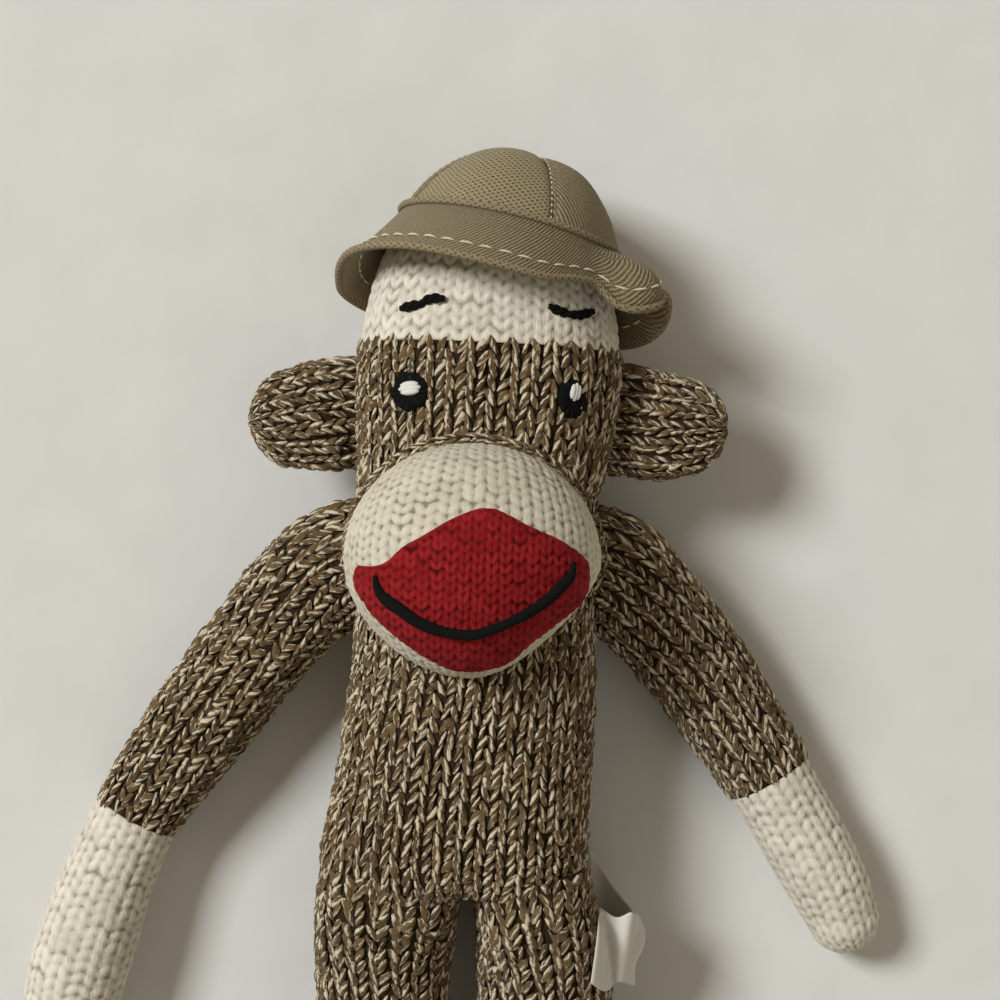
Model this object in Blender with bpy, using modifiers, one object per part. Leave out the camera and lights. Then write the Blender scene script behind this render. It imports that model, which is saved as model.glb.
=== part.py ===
"""A small machine-knitted sock monkey doll in a twill safari hat, lying on its back.

The doll's length runs along Y with the head at +Y, its belly faces +Z, and the middle of its
back rests on the origin. Each knitted tube is a shell of even thickness round its own stuffing,
open where it is sewn on. Every limb has a rounded root about the line of its seam, so that it
swings there without biting into the body.
"""

import math

import bmesh
import bpy
from mathutils import Matrix, Vector
from mathutils.bvhtree import BVHTree

MM = 0.001

# The knit, its stuffing and the gaps between pieces
KNIT_WALL = 1.0 * MM
SEAM_GAP = 0.3 * MM
STUFFING_GAP = 0.9 * MM
REST_FLAT = 0.5 * MM
FLOOR_GAP = 0.2 * MM
CUTTER_OVERRUN = 60.0 * MM

# Neck and head. The neck plane is where the head's part of the tube meets the torso's.
NECK_UP = 41.0 * MM
NECK_WIDTH = 49.2 * MM
NECK_DEPTH = 41.0 * MM
HEAD_WIDTH = 53.0 * MM
HEAD_DEPTH = 41.8 * MM
HEAD_LENGTH = 64.5 * MM
HEAD_RISE = 2.6 * MM
CROWN_LINE_UP = 29.0 * MM
HAT_LEAN = 3.0 * MM
# Rows are: along the head, width, depth, rise of the middle, lean of the crown towards the hat.
HEAD_STATION_SHARES = (
    (0.36, 1.015, 1.00, 0.7, 0.0),
    (0.62, 0.94, 0.955, 1.4, 0.0),
    (0.79, 0.76, 0.87, 1.4, 0.25),
    (0.92, 0.53, 0.62, 1.2, 1.1),
    (1.00, 0.24, 0.28, 1.1, 1.3),
)

# Torso
TORSO_WIDTH = 52.6 * MM
TORSO_DEPTH = 40.5 * MM
TORSO_LENGTH = 91.0 * MM
TORSO_SWAY = 2.6 * MM
SHOULDER_WIDTH_SHARE = 0.945
# Rows are: along the torso from the neck, width, depth, sway to the doll's left, lift of the back.
TORSO_STATION_SHARES = (
    (0.14, SHOULDER_WIDTH_SHARE, 1.00, 0.0, 0.0),
    (0.42, 0.93, 0.98, 0.0, 0.0),
    (0.76, 1.01, 1.02, -0.8, 0.0),
    (0.93, 0.93, 0.77, -1.0, 0.02),
    (1.00, 0.62, 0.38, -1.0, 0.10),
)
SEAT_HEEL_WIDTH = 34.0 * MM
SEAT_HEEL_LENGTH = 26.0 * MM
SEAT_HEEL_TOP_SHARE = 0.37

# Muzzle, mouth and smile
MUZZLE_WIDTH = 49.2 * MM
MUZZLE_LENGTH = 45.2 * MM
MUZZLE_DEPTH = 43.0 * MM
MUZZLE_SHIFT = -1.0 * MM
MUZZLE_BELOW_NECK = 12.2 * MM
MUZZLE_FRONT = 62.5 * MM
MOUTH_THICKNESS = 1.0 * MM
MOUTH_WIDTH = 43.2 * MM
MOUTH_HEIGHT = 30.0 * MM
MOUTH_BELOW_MUZZLE = 5.5 * MM
# The mouth's outline, clockwise from its right corner, as shares of its half width and half height.
MOUTH_OUTLINE_SHARES = (
    (1.0, 0.10), (0.62, -0.58), (0.20, -0.96), (-0.24, -0.95), (-0.68, -0.55),
    (-1.0, 0.0), (-0.76, 0.28), (-0.38, 0.74), (0.04, 1.0), (0.46, 0.82), (0.84, 0.42),
)
SMILE_THREAD = 1.9 * MM
# The smile's stitches from left to right, as shares of the mouth's half width and half height.
SMILE_ROUTE_SHARES = (
    (-0.84, 0.10), (-0.72, -0.18), (-0.48, -0.42), (-0.22, -0.56), (0.02, -0.56),
    (0.26, -0.46), (0.52, -0.26), (0.72, -0.04), (0.85, 0.26),
)

# Eyes and eyebrows
FACE_SHIFT = 1.0 * MM
EYE_SPACING = 31.0 * MM
EYE_BELOW_CROWN_LINE = 9.7 * MM
EYE_WIDTHS = {"left": 8.2 * MM, "right": 7.4 * MM}
EYE_HEIGHT = 8.6 * MM
EYE_THICKNESS = 2.2 * MM
GLINT_WIDTH = 3.6 * MM
GLINT_HEIGHT = 3.2 * MM
GLINT_THICKNESS = 1.4 * MM
BROW_SPACING = 29.2 * MM
BROW_ABOVE_CROWN_LINE = 7.4 * MM
BROW_WIDTH = 9.0 * MM
BROW_BEND = 1.1 * MM
BROW_TILTS = {"left": 2.0 * MM, "right": 0.2 * MM}
BROW_THREAD = 1.7 * MM

# Ears
EAR_REACH = 16.8 * MM
EAR_SPAN = 21.4 * MM
EAR_THICKNESS = 9.6 * MM
EAR_ROOT_THICKNESS = 7.0 * MM
EAR_ABOVE_NECK = {"left": 15.4 * MM, "right": 16.4 * MM}
EAR_DROOP = {"left": 3.4 * MM, "right": 1.2 * MM}
# Rows are: along the ear, span, thickness, droop.
EAR_STATION_SHARES = (
    (0.36, 1.0, 1.0, 0.3),
    (0.82, 0.80, 0.92, 0.9),
    (1.0, 0.34, 0.44, 1.0),
)

# Arms and hands
ARM_SEAM_SPAN = 24.0 * MM
ARM_SEAM_THICKNESS = 10.0 * MM
SHOULDER_BELOW_NECK = 13.8 * MM
ARM_REACHES = {"left": 54.0 * MM, "right": 51.6 * MM}
ARM_DROPS = {"left": 105.5 * MM, "right": 79.0 * MM}
ARM_WIDTH = 20.4 * MM
HAND_WIDTHS = {"left": 19.6 * MM, "right": 16.8 * MM}
# Rows are: reach, drop, fall to the floor, width between the seam's (0) and the arm's (1) or,
# past the wrist, as a share of the hand's.
ARM_ROUTE_SHARES = {
    "left": ((0.15, 0.065, 0.20, 0.4), (0.27, 0.18, 0.50, 1.0)),
    "right": ((0.15, 0.06, 0.20, 0.4), (0.25, 0.18, 0.50, 1.0)),
}
HAND_ROUTE_SHARES = {
    "left": ((0.70, 0.50, 1.0), (0.91, 0.85, 0.97), (1.0, 1.0, 0.5)),
    "right": ((0.575, 0.50, 1.06), (0.90, 0.83, 0.88), (1.0, 1.0, 0.48)),
}

# Legs and feet
CROTCH_ABOVE_SEAT = 10.7 * MM
LEG_LENGTH = 115.5 * MM
LEG_WIDTH = 25.0 * MM
LEG_DEPTH = 25.0 * MM
LEG_SPACING = 31.4 * MM
HIP_HEIGHT = 21.2 * MM
FOOT_LENGTH = 37.0 * MM
# Rows are: along the leg from the crotch, sideways, width, depth, fall to the floor.
LEG_ROUTE_SHARES = {
    "left": (
        (-0.03, 0.04, 1.12, 1.0, 0.0), (0.10, -0.02, 1.03, 0.99, 0.02), (0.42, -0.03, 0.98, 0.97, 0.35),
        (0.72, -0.13, 0.97, 0.95, 0.90), (0.94, -0.16, 0.88, 0.84, 1.0), (1.0, -0.16, 0.44, 0.42, 1.0),
    ),
    "right": (
        (-0.03, -0.07, 0.88, 1.0, 0.0), (0.10, 0.0, 0.98, 0.99, 0.02), (0.42, 0.06, 0.98, 0.97, 0.35),
        (0.72, 0.13, 0.97, 0.95, 0.90), (0.94, 0.16, 0.88, 0.84, 1.0), (1.0, 0.16, 0.44, 0.42, 1.0),
    ),
}

# Tail, which is sewn at the seat and lies under the doll's left leg
TAIL_WIDTH = 9.0 * MM
TAIL_ROOT_THICKNESS = 5.6 * MM
TAIL_SIDE = 9.5 * MM
TAIL_ABOVE_SEAT = 1.0 * MM
TAIL_REACH = 43.0 * MM
TAIL_DROP = 84.0 * MM
TAIL_TIP_LENGTH = 15.0 * MM
# Rows are: reach to the doll's left, drop, width, thickness between the root's (0) and the tail's (1).
TAIL_ROUTE_SHARES = (
    (0.08, 0.11, 0.9, 0.0), (0.36, 0.24, 0.9, 0.0), (0.82, 0.45, 1.0, 0.8),
    (1.0, 0.68, 1.0, 1.0), (0.90, 0.92, 0.96, 0.95), (0.80, 1.0, 0.46, 0.1),
)

# Hat
HAT_RADIUS = 22.1 * MM
HAT_HEIGHT = 17.8 * MM
HAT_WALL = 1.0 * MM
HAT_BELOW_TOP = 12.9 * MM
HAT_SIDE = 3.3 * MM
HAT_MIDDLE_HEIGHT = 23.1 * MM
HAT_ROLL = math.radians(10.8)
HAT_TIP_BACK = math.radians(5.0)
HAT_SEAM_TURN = math.radians(15.0)
# The crown's outer line from the top down, as shares of its radius and height.
CROWN_PROFILE_SHARES = (
    (0.0, 1.0), (0.17, 0.975), (0.43, 0.875), (0.63, 0.71), (0.78, 0.51), (0.90, 0.28), (1.0, 0.0),
)
PANEL_COUNT = 4
BRIM_LENGTH = 16.0 * MM
BRIM_THICKNESS = 1.2 * MM
# How far the brim slopes down from square to the hat's axis, and how that changes round it.
BRIM_SLOPE = math.radians(56.0)
BRIM_SLOPE_FRONT = math.radians(-14.5)
BRIM_SLOPE_RIGHT = math.radians(9.5)
BRIM_SLOPE_TWICE = math.radians(13.0)

# Care label, a folded ribbon in the right leg's side seam
LABEL_WIDTH = 16.4 * MM
LABEL_LOOP = 9.2 * MM
LABEL_LOOP_HEIGHT = 3.6 * MM
LABEL_RIBBON = 0.4 * MM
LABEL_BELOW_CROTCH = 2.4 * MM
LABEL_HEIGHT = 14.2 * MM
LABEL_TURN = math.radians(9.0)
LABEL_INSET_SHARE = 0.07
# The ribbon's line from the seam round its fold and back, as shares of the loop and its height.
LABEL_OUTLINE_SHARES = (
    (0.0, 0.14), (0.35, 0.5), (0.75, 0.46), (0.98, 0.12), (0.90, -0.32), (0.45, -0.44), (0.0, -0.14),
)

# Facets
BODY_SIDES = 8
BODY_STUFFING_SIDES = 6
LIMB_SIDES = 6
LIMB_STUFFING_SIDES = 4
SPHERE_SEGMENTS = 20
SPHERE_RINGS = 10
EYE_SEGMENTS = 12
EYE_RINGS = 6
GLINT_SEGMENTS = 8
GLINT_RINGS = 5
MUZZLE_STUFFING_SEGMENTS = 12
MUZZLE_STUFFING_RINGS = 8
HEEL_PATCH_RINGS = 6
BRIM_FACETS = 32
BRIM_STEPS = 3
CROWN_FACETS = 28
ROUND_FACETS = 32

UP = Vector((0, 0, 1))
DOWN = Vector((0, 0, -1))
RIGHT = Vector((1, 0, 0))
HEADWARD = Vector((0, 1, 0))
SIDE_SIGNS = {"left": -1, "right": 1}

NECK_HEIGHT = NECK_DEPTH / 2 - REST_FLAT
MUZZLE_CENTRE = Vector((MUZZLE_SHIFT, NECK_UP - MUZZLE_BELOW_NECK, MUZZLE_FRONT - MUZZLE_DEPTH / 2))
MOUTH_CENTRE_Y = MUZZLE_CENTRE.y - MOUTH_BELOW_MUZZLE
CHEST_RADIUS = TORSO_WIDTH / 2 * SHOULDER_WIDTH_SHARE
CROWN_LINE = NECK_UP + CROWN_LINE_UP
SEAT_DOWN = TORSO_LENGTH - NECK_UP
CROTCH_DOWN = SEAT_DOWN - CROTCH_ABOVE_SEAT
HIP_RADIUS = LEG_DEPTH / 2
HIP_Y = -CROTCH_DOWN - SEAM_GAP - HIP_RADIUS
SHOULDER_X = CHEST_RADIUS + SEAM_GAP + ARM_SEAM_THICKNESS / 2
SHOULDER_Y = NECK_UP - SHOULDER_BELOW_NECK
SHOULDER_HEIGHT = TORSO_DEPTH / 2
EAR_X = HEAD_WIDTH / 2 + EAR_ROOT_THICKNESS / 2
EAR_HEIGHT = NECK_HEIGHT + HEAD_RISE / 2
TAIL_HEIGHT = TAIL_ROOT_THICKNESS / 2 + FLOOR_GAP
TAIL_Y = TAIL_ABOVE_SEAT - SEAT_DOWN


def clear_scene():
    for obj in list(bpy.data.objects):
        bpy.data.objects.remove(obj, do_unlink=True)


def new_collection(name):
    collection = bpy.data.collections.new(name)
    bpy.context.scene.collection.children.link(collection)
    return collection


def add_object(name, bm, collection, matrix=None):
    """A mesh object from a bmesh, with its vertices turned and moved by the matrix."""
    mesh = bpy.data.meshes.new(name)
    bm.to_mesh(mesh)
    bm.free()
    if matrix is not None:
        mesh.transform(matrix)
    mesh.shade_smooth()
    obj = bpy.data.objects.new(name, mesh)
    collection.objects.link(obj)
    return obj


def as_cutter(obj):
    obj.hide_render = True
    obj.display_type = "WIRE"
    return obj


def cut(obj, cutter, operation="DIFFERENCE"):
    modifier = obj.modifiers.new(cutter.name, "BOOLEAN")
    modifier.operation = operation
    modifier.solver = "EXACT"
    modifier.object = cutter


def make_material(name, color, roughness, sheen=0.0):
    material = bpy.data.materials.new(name)
    material.use_nodes = True
    shader = material.node_tree.nodes["Principled BSDF"]
    shader.inputs["Base Color"].default_value = (*color, 1.0)
    shader.inputs["Roughness"].default_value = roughness
    shader.inputs["Metallic"].default_value = 0.0
    shader.inputs["Sheen Weight"].default_value = sheen
    return material


def paint(obj, material):
    obj.data.materials.clear()
    obj.data.materials.append(material)


def hang_on(obj, pivot):
    """Parents a piece to its joint's empty without moving it."""
    obj.parent = pivot
    obj.matrix_parent_inverse = pivot.matrix_world.inverted()


def add_pivot(name, place):
    pivot = bpy.data.objects.new(name, None)
    pivot.location = place
    PARTS.objects.link(pivot)
    bpy.context.view_layer.update()
    return pivot


def box_cutter(name, low, high, matrix=None):
    bm = bmesh.new()
    bmesh.ops.create_cube(bm, size=1.0)
    size = [top - bottom for bottom, top in zip(low, high)]
    middle = [(top + bottom) / 2 for bottom, top in zip(low, high)]
    place = Matrix.Translation(middle) @ Matrix.Diagonal((*size, 1.0))
    return as_cutter(add_object(name, bm, CUTTERS, (matrix or Matrix()) @ place))


def cylinder_cutter(name, radius, length, centre, axis):
    bm = bmesh.new()
    bmesh.ops.create_cone(
        bm, cap_ends=True, segments=ROUND_FACETS, radius1=radius, radius2=radius, depth=length
    )
    turn = UP.rotation_difference(axis).to_matrix().to_4x4()
    return as_cutter(add_object(name, bm, CUTTERS, Matrix.Translation(centre) @ turn))


def station(centre, forward, half_across, half_up):
    """The matrix that takes a unit circle to a section of a tube."""
    forward = forward.normalized()
    across = forward.cross(UP).normalized()
    up = across.cross(forward)
    matrix = Matrix((across * half_across, up * half_up, forward)).transposed().to_4x4()
    matrix.translation = centre
    return matrix


def soft_form(name, stations, sides, collection, open_start=False):
    """A stuffed form: a coarse cage with a ring at each station, refined once.

    The rings are widened so that the refined form has the stations' own sizes.
    """
    widen = Matrix.Scale(1 / math.cos(math.pi / sides), 4)
    bm = bmesh.new()
    crease = bm.edges.layers.float.new("crease_edge")
    ring = bmesh.ops.create_circle(bm, segments=sides, radius=1.0)["verts"]
    first_ring = list(ring)
    edges = list(bm.edges)
    last = Matrix()
    for index, section in enumerate(stations):
        if index:
            grown = bmesh.ops.extrude_edge_only(bm, edges=edges)["geom"]
            ring = [item for item in grown if isinstance(item, bmesh.types.BMVert)]
            edges = [edge for edge in bm.edges if all(vert in ring for vert in edge.verts)]
        step = section @ widen @ last.inverted()
        bmesh.ops.transform(bm, matrix=step, verts=ring)
        last = section @ widen
    bmesh.ops.holes_fill(bm, edges=edges, sides=sides)
    start_edges = [edge for edge in bm.edges if all(vert in first_ring for vert in edge.verts)]
    start_cap = bmesh.ops.holes_fill(bm, edges=start_edges, sides=sides)["faces"]
    bmesh.ops.recalc_face_normals(bm, faces=bm.faces)
    if open_start:
        bmesh.ops.delete(bm, geom=start_cap, context="FACES_ONLY")
    else:
        for edge in start_edges:
            edge[crease] = 1.0
    obj = add_object(name, bm, collection)
    refine = obj.modifiers.new("refine", "SUBSURF")
    refine.levels = 1
    refine.render_levels = 1
    return obj


def knit_cover(name, stations, sides):
    """The knitted shell of a form, open at its first station."""
    obj = soft_form(name, stations, sides, PARTS, open_start=True)
    wall = obj.modifiers.new("wall", "SOLIDIFY")
    wall.thickness = KNIT_WALL
    wall.offset = -1
    return obj


def route_stations(centres, halves, inset, first_forward):
    """Sections along a route, each square to it, drawn in by the inset."""
    count = len(centres)
    stations = []
    for index, (centre, half) in enumerate(zip(centres, halves)):
        before = centres[max(index - 1, 0)]
        after = centres[min(index + 1, count - 1)]
        forward = (after - before).normalized()
        if index < 2:
            forward = first_forward
        elif index == 2:
            forward = (forward + first_forward).normalized()
        pulled = centre - forward * inset * (index / (count - 1))
        stations.append(station(pulled, forward, half[0] - inset, half[1] - inset))
    return stations


def mix(start, end, share):
    return start + (end - start) * share


def head_stations(inset=0.0):
    centres = [Vector((0, NECK_UP + SEAM_GAP / 2, NECK_HEIGHT))]
    halves = [(NECK_WIDTH / 2, NECK_DEPTH / 2)]
    for along, width, depth, rise, lean in HEAD_STATION_SHARES:
        height = NECK_HEIGHT + HEAD_RISE * rise
        centres.append(Vector((HAT_LEAN * lean, NECK_UP + HEAD_LENGTH * along, height)))
        halves.append((HEAD_WIDTH / 2 * width, HEAD_DEPTH / 2 * depth))
    return straight_stations(centres, halves, inset, HEADWARD)


def torso_stations(inset=0.0):
    centres = [Vector((0, NECK_UP - SEAM_GAP / 2, NECK_HEIGHT))]
    halves = [(NECK_WIDTH / 2, NECK_DEPTH / 2)]
    for along, width, depth, sway, lift in TORSO_STATION_SHARES:
        half_depth = TORSO_DEPTH / 2 * depth
        height = half_depth - REST_FLAT + TORSO_DEPTH * lift
        centres.append(Vector((TORSO_SWAY * sway, NECK_UP - TORSO_LENGTH * along, height)))
        halves.append((TORSO_WIDTH / 2 * width, half_depth))
    return straight_stations(centres, halves, inset, -HEADWARD)


def straight_stations(centres, halves, inset, forward):
    """Sections that all face one way, the far ones drawn back by the inset."""
    count = len(centres)
    stations = []
    for index, (centre, half) in enumerate(zip(centres, halves)):
        pulled = centre - forward * inset * (index / (count - 1))
        stations.append(station(pulled, forward, half[0] - inset, half[1] - inset))
    return stations


def arm_stations(side, inset=0.0):
    sign = SIDE_SIGNS[side]
    outward = RIGHT * sign
    seam = Vector((SHOULDER_X * sign, SHOULDER_Y, SHOULDER_HEIGHT))
    rest_height = ARM_WIDTH / 2 + FLOOR_GAP
    centres = [seam - outward * ARM_SEAM_THICKNESS, seam - outward * SEAM_GAP]
    halves = [(ARM_SEAM_SPAN / 2, ARM_SEAM_THICKNESS / 2)] * 2
    for reach, drop, fall, swell in ARM_ROUTE_SHARES[side]:
        centres.append(Vector((
            seam.x + ARM_REACHES[side] * reach * sign,
            seam.y - ARM_DROPS[side] * drop,
            mix(SHOULDER_HEIGHT, rest_height, fall),
        )))
        halves.append((
            mix(ARM_SEAM_SPAN, ARM_WIDTH, swell) / 2,
            mix(ARM_SEAM_THICKNESS, ARM_WIDTH, swell) / 2,
        ))
    for reach, drop, size in HAND_ROUTE_SHARES[side]:
        half = HAND_WIDTHS[side] / 2
        centres.append(Vector((
            seam.x + ARM_REACHES[side] * reach * sign,
            seam.y - ARM_DROPS[side] * drop,
            half + FLOOR_GAP,
        )))
        halves.append((half * size, half * size))
    return route_stations(centres, halves, inset, outward)


def leg_stations(side, inset=0.0):
    sign = SIDE_SIGNS[side]
    hip_x = LEG_SPACING / 2 * sign
    rest_height = LEG_DEPTH / 2 + FLOOR_GAP
    centres = []
    halves = []
    for along, sideways, width, depth, fall in LEG_ROUTE_SHARES[side]:
        centres.append(Vector((
            hip_x + LEG_WIDTH * sideways,
            -CROTCH_DOWN - LEG_LENGTH * along,
            mix(HIP_HEIGHT, rest_height, fall),
        )))
        halves.append((LEG_WIDTH / 2 * width, LEG_DEPTH / 2 * depth))
    return route_stations(centres, halves, inset, -HEADWARD)


def ear_stations(side, inset=0.0):
    sign = SIDE_SIGNS[side]
    outward = RIGHT * sign
    seam = Vector((EAR_X * sign, NECK_UP + EAR_ABOVE_NECK[side], EAR_HEIGHT))
    centres = [seam - outward * EAR_ROOT_THICKNESS, seam - outward * SEAM_GAP]
    halves = [(EAR_SPAN / 2, EAR_ROOT_THICKNESS / 2)] * 2
    for along, span, thickness, droop in EAR_STATION_SHARES:
        centres.append(seam + outward * EAR_REACH * along - HEADWARD * EAR_DROOP[side] * droop)
        halves.append((EAR_SPAN / 2 * span, EAR_THICKNESS / 2 * thickness))
    return route_stations(centres, halves, inset, outward)


def tail_stations(inset=0.0):
    root = Vector((-TAIL_SIDE, TAIL_Y, TAIL_HEIGHT))
    centres = [root + HEADWARD * TAIL_ROOT_THICKNESS, root + HEADWARD * SEAM_GAP]
    halves = [(TAIL_WIDTH / 2, TAIL_ROOT_THICKNESS / 2)] * 2
    for reach, drop, width, swell in TAIL_ROUTE_SHARES:
        thickness = mix(TAIL_ROOT_THICKNESS, TAIL_WIDTH, swell)
        centres.append(Vector((
            root.x - TAIL_REACH * reach,
            root.y - TAIL_DROP * drop,
            thickness / 2 + FLOOR_GAP,
        )))
        halves.append((TAIL_WIDTH / 2 * width, thickness / 2))
    return route_stations(centres, halves, inset, -HEADWARD)


def stuffing_of(name, sides, make_stations, *side):
    """The filling of a cover: the same form drawn in by the wall and a small gap."""
    inset = KNIT_WALL + STUFFING_GAP
    return soft_form(name, make_stations(*side, inset=inset), sides, PARTS)


def split_by_plane(near, far, point, forward, reach, name):
    """Cuts two copies of a form at one plane, each half a seam gap back from it."""
    place = Matrix.Translation(point) @ UP.rotation_difference(forward).to_matrix().to_4x4()
    for obj, start, operation in ((near, -SEAM_GAP / 2, "DIFFERENCE"), (far, SEAM_GAP / 2, "INTERSECT")):
        corners = (-reach, -reach, start), (reach, reach, reach + reach)
        beyond = box_cutter(f"{obj.name}_{name}", *corners, place)
        cut(obj, beyond, operation)


def root_trim(name, centre, radius, axis, inward):
    """What lies inward of a joint's axis and outside its rounded root."""
    reach = CUTTER_OVERRUN
    turn = Matrix((axis.cross(inward), axis, inward)).transposed().to_4x4()
    place = Matrix.Translation(centre) @ turn
    trim = box_cutter(name, (-reach, -reach, 0), (reach, reach, reach), place)
    cut(trim, cylinder_cutter(name + "_round", radius, reach * 3, centre, axis))
    return trim


def evaluated_surface(obj):
    bpy.context.view_layer.update()
    return BVHTree.FromObject(obj, bpy.context.evaluated_depsgraph_get())


def drop_on(surface, x, y):
    """The point and the normal where a needle pushed straight down meets a surface."""
    start = Vector((x, y, MUZZLE_FRONT * 2))
    point, normal, _, _ = surface.ray_cast(start, DOWN)
    return point, normal


def add_ellipsoid(name, size, place, turn, collection, segments=SPHERE_SEGMENTS, rings=SPHERE_RINGS):
    bm = bmesh.new()
    bmesh.ops.create_uvsphere(bm, u_segments=segments, v_segments=rings, radius=0.5)
    matrix = Matrix.Translation(place) @ turn.to_4x4() @ Matrix.Diagonal((*size, 1.0))
    return add_object(name, bm, collection, matrix)


def muzzle_form(name, grow, collection, segments=SPHERE_SEGMENTS, rings=SPHERE_RINGS):
    size = [length + grow * 2 for length in (MUZZLE_WIDTH, MUZZLE_LENGTH, MUZZLE_DEPTH)]
    return add_ellipsoid(name, size, MUZZLE_CENTRE, Matrix.Identity(3), collection, segments, rings)


def thread_along(name, points, thickness):
    """A length of yarn as a mesh, from a curve with round filled ends."""
    curve = bpy.data.curves.new(name, "CURVE")
    curve.dimensions = "3D"
    curve.bevel_depth = thickness / 2
    curve.bevel_resolution = 1
    curve.resolution_u = 2
    curve.use_fill_caps = True
    spline = curve.splines.new("BEZIER")
    spline.bezier_points.add(len(points) - 1)
    for bezier, point in zip(spline.bezier_points, points):
        bezier.co = point
        bezier.handle_left_type = "AUTO"
        bezier.handle_right_type = "AUTO"
    return curve_as_mesh(name, curve, PARTS)


def curve_as_mesh(name, curve, collection):
    guide = bpy.data.objects.new(name + "_curve", curve)
    collection.objects.link(guide)
    bpy.context.view_layer.update()
    graph = bpy.context.evaluated_depsgraph_get()
    mesh = bpy.data.meshes.new_from_object(guide.evaluated_get(graph))
    bm = bmesh.new()
    bm.from_mesh(mesh)
    bmesh.ops.remove_doubles(bm, verts=bm.verts, dist=SEAM_GAP / 100)
    bmesh.ops.recalc_face_normals(bm, faces=bm.faces)
    place = guide.matrix_world.copy()
    bpy.data.objects.remove(guide, do_unlink=True)
    return add_object(name, bm, collection, place)


def build_head(pivot, looks, floor):
    cover = knit_cover("head_cover", head_stations(), BODY_SIDES)
    crown = knit_cover("crown_cover", head_stations(), BODY_SIDES)
    stuffing = stuffing_of("head_stuffing", BODY_STUFFING_SIDES, head_stations)
    line = Vector((0, CROWN_LINE, NECK_HEIGHT))
    split_by_plane(cover, crown, line, HEADWARD, CUTTER_OVERRUN, "line")
    for obj, look in ((cover, "marl"), (crown, "cream"), (stuffing, "fibre")):
        cut(obj, floor)
        paint(obj, looks[look])
        hang_on(obj, pivot)


def build_face(pivot, looks, head_surface, head_clear):
    for side, sign in SIDE_SIGNS.items():
        x = FACE_SHIFT + EYE_SPACING / 2 * sign
        point, normal = drop_on(head_surface, x, CROWN_LINE - EYE_BELOW_CROWN_LINE)
        turn = UP.rotation_difference(normal).to_matrix()
        eye_size = (EYE_WIDTHS[side], EYE_HEIGHT, EYE_THICKNESS)
        eye = add_ellipsoid("eye_" + side, eye_size, point, turn, PARTS, EYE_SEGMENTS, EYE_RINGS)
        cut(eye, head_clear)
        clear_size = [length + SEAM_GAP * 2 for length in eye_size]
        eye_room = add_ellipsoid(
            "eye_clear_" + side, clear_size, point, turn, CUTTERS, EYE_SEGMENTS, EYE_RINGS
        )
        eye_clear = as_cutter(eye_room)
        glint_size = (GLINT_WIDTH, GLINT_HEIGHT, GLINT_THICKNESS)
        top = point + normal * (EYE_THICKNESS / 2)
        glint = add_ellipsoid(
            "eye_glint_" + side, glint_size, top, turn, PARTS, GLINT_SEGMENTS, GLINT_RINGS
        )
        cut(glint, eye_clear)
        brow = build_brow(side, sign, head_surface, head_clear)
        for obj, look in ((eye, "black"), (glint, "white"), (brow, "black")):
            paint(obj, looks[look])
            hang_on(obj, pivot)


def build_brow(side, sign, head_surface, head_clear):
    """Two stitches that meet in the middle, where the yarn dips into the knit."""
    middle = FACE_SHIFT + BROW_SPACING / 2 * sign
    height = CROWN_LINE + BROW_ABOVE_CROWN_LINE
    points = []
    for share in (-1, -1 / 2, 0, 1 / 2, 1):
        x = middle + BROW_WIDTH / 2 * share
        y = height + BROW_TILTS[side] / 2 * share
        if side == "right":
            y += BROW_BEND * (share * share - 1 / 2)
        point, normal = drop_on(head_surface, x, y)
        points.append(point + normal * SEAM_GAP)
    brow = thread_along("eyebrow_" + side, points, BROW_THREAD)
    cut(brow, head_clear)
    return brow


def build_muzzle(pivot, looks, head_clear):
    chest_clear = cylinder_cutter(
        "chest_clear",
        CHEST_RADIUS + SEAM_GAP * 2,
        NECK_UP + MUZZLE_LENGTH,
        Vector((0, NECK_UP / 2 - MUZZLE_LENGTH / 2 + SEAM_GAP, NECK_HEIGHT)),
        HEADWARD,
    )
    cover = muzzle_form("muzzle_cover", 0, PARTS)
    hollow = as_cutter(muzzle_form("muzzle_hollow", -KNIT_WALL, CUTTERS))
    cut(cover, hollow)
    stuffing = muzzle_form(
        "muzzle_stuffing", -KNIT_WALL - STUFFING_GAP, PARTS, MUZZLE_STUFFING_SEGMENTS, MUZZLE_STUFFING_RINGS
    )
    for obj, look in ((cover, "cream"), (stuffing, "fibre")):
        cut(obj, head_clear)
        cut(obj, chest_clear)
        paint(obj, looks[look])
        hang_on(obj, pivot)
    build_mouth(pivot, looks)


def mouth_point(share_x, share_y):
    """The point of the mouth's front face above a place in its outline."""
    x = MUZZLE_SHIFT + MOUTH_WIDTH / 2 * share_x
    y = MOUTH_CENTRE_Y + MOUTH_HEIGHT / 2 * share_y
    grow = SEAM_GAP + MOUTH_THICKNESS
    along_x = (x - MUZZLE_CENTRE.x) / (MUZZLE_WIDTH / 2 + grow)
    along_y = (y - MUZZLE_CENTRE.y) / (MUZZLE_LENGTH / 2 + grow)
    rest = max(0, 1 - along_x * along_x - along_y * along_y)
    return Vector((x, y, MUZZLE_CENTRE.z + (MUZZLE_DEPTH / 2 + grow) * math.sqrt(rest)))


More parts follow.
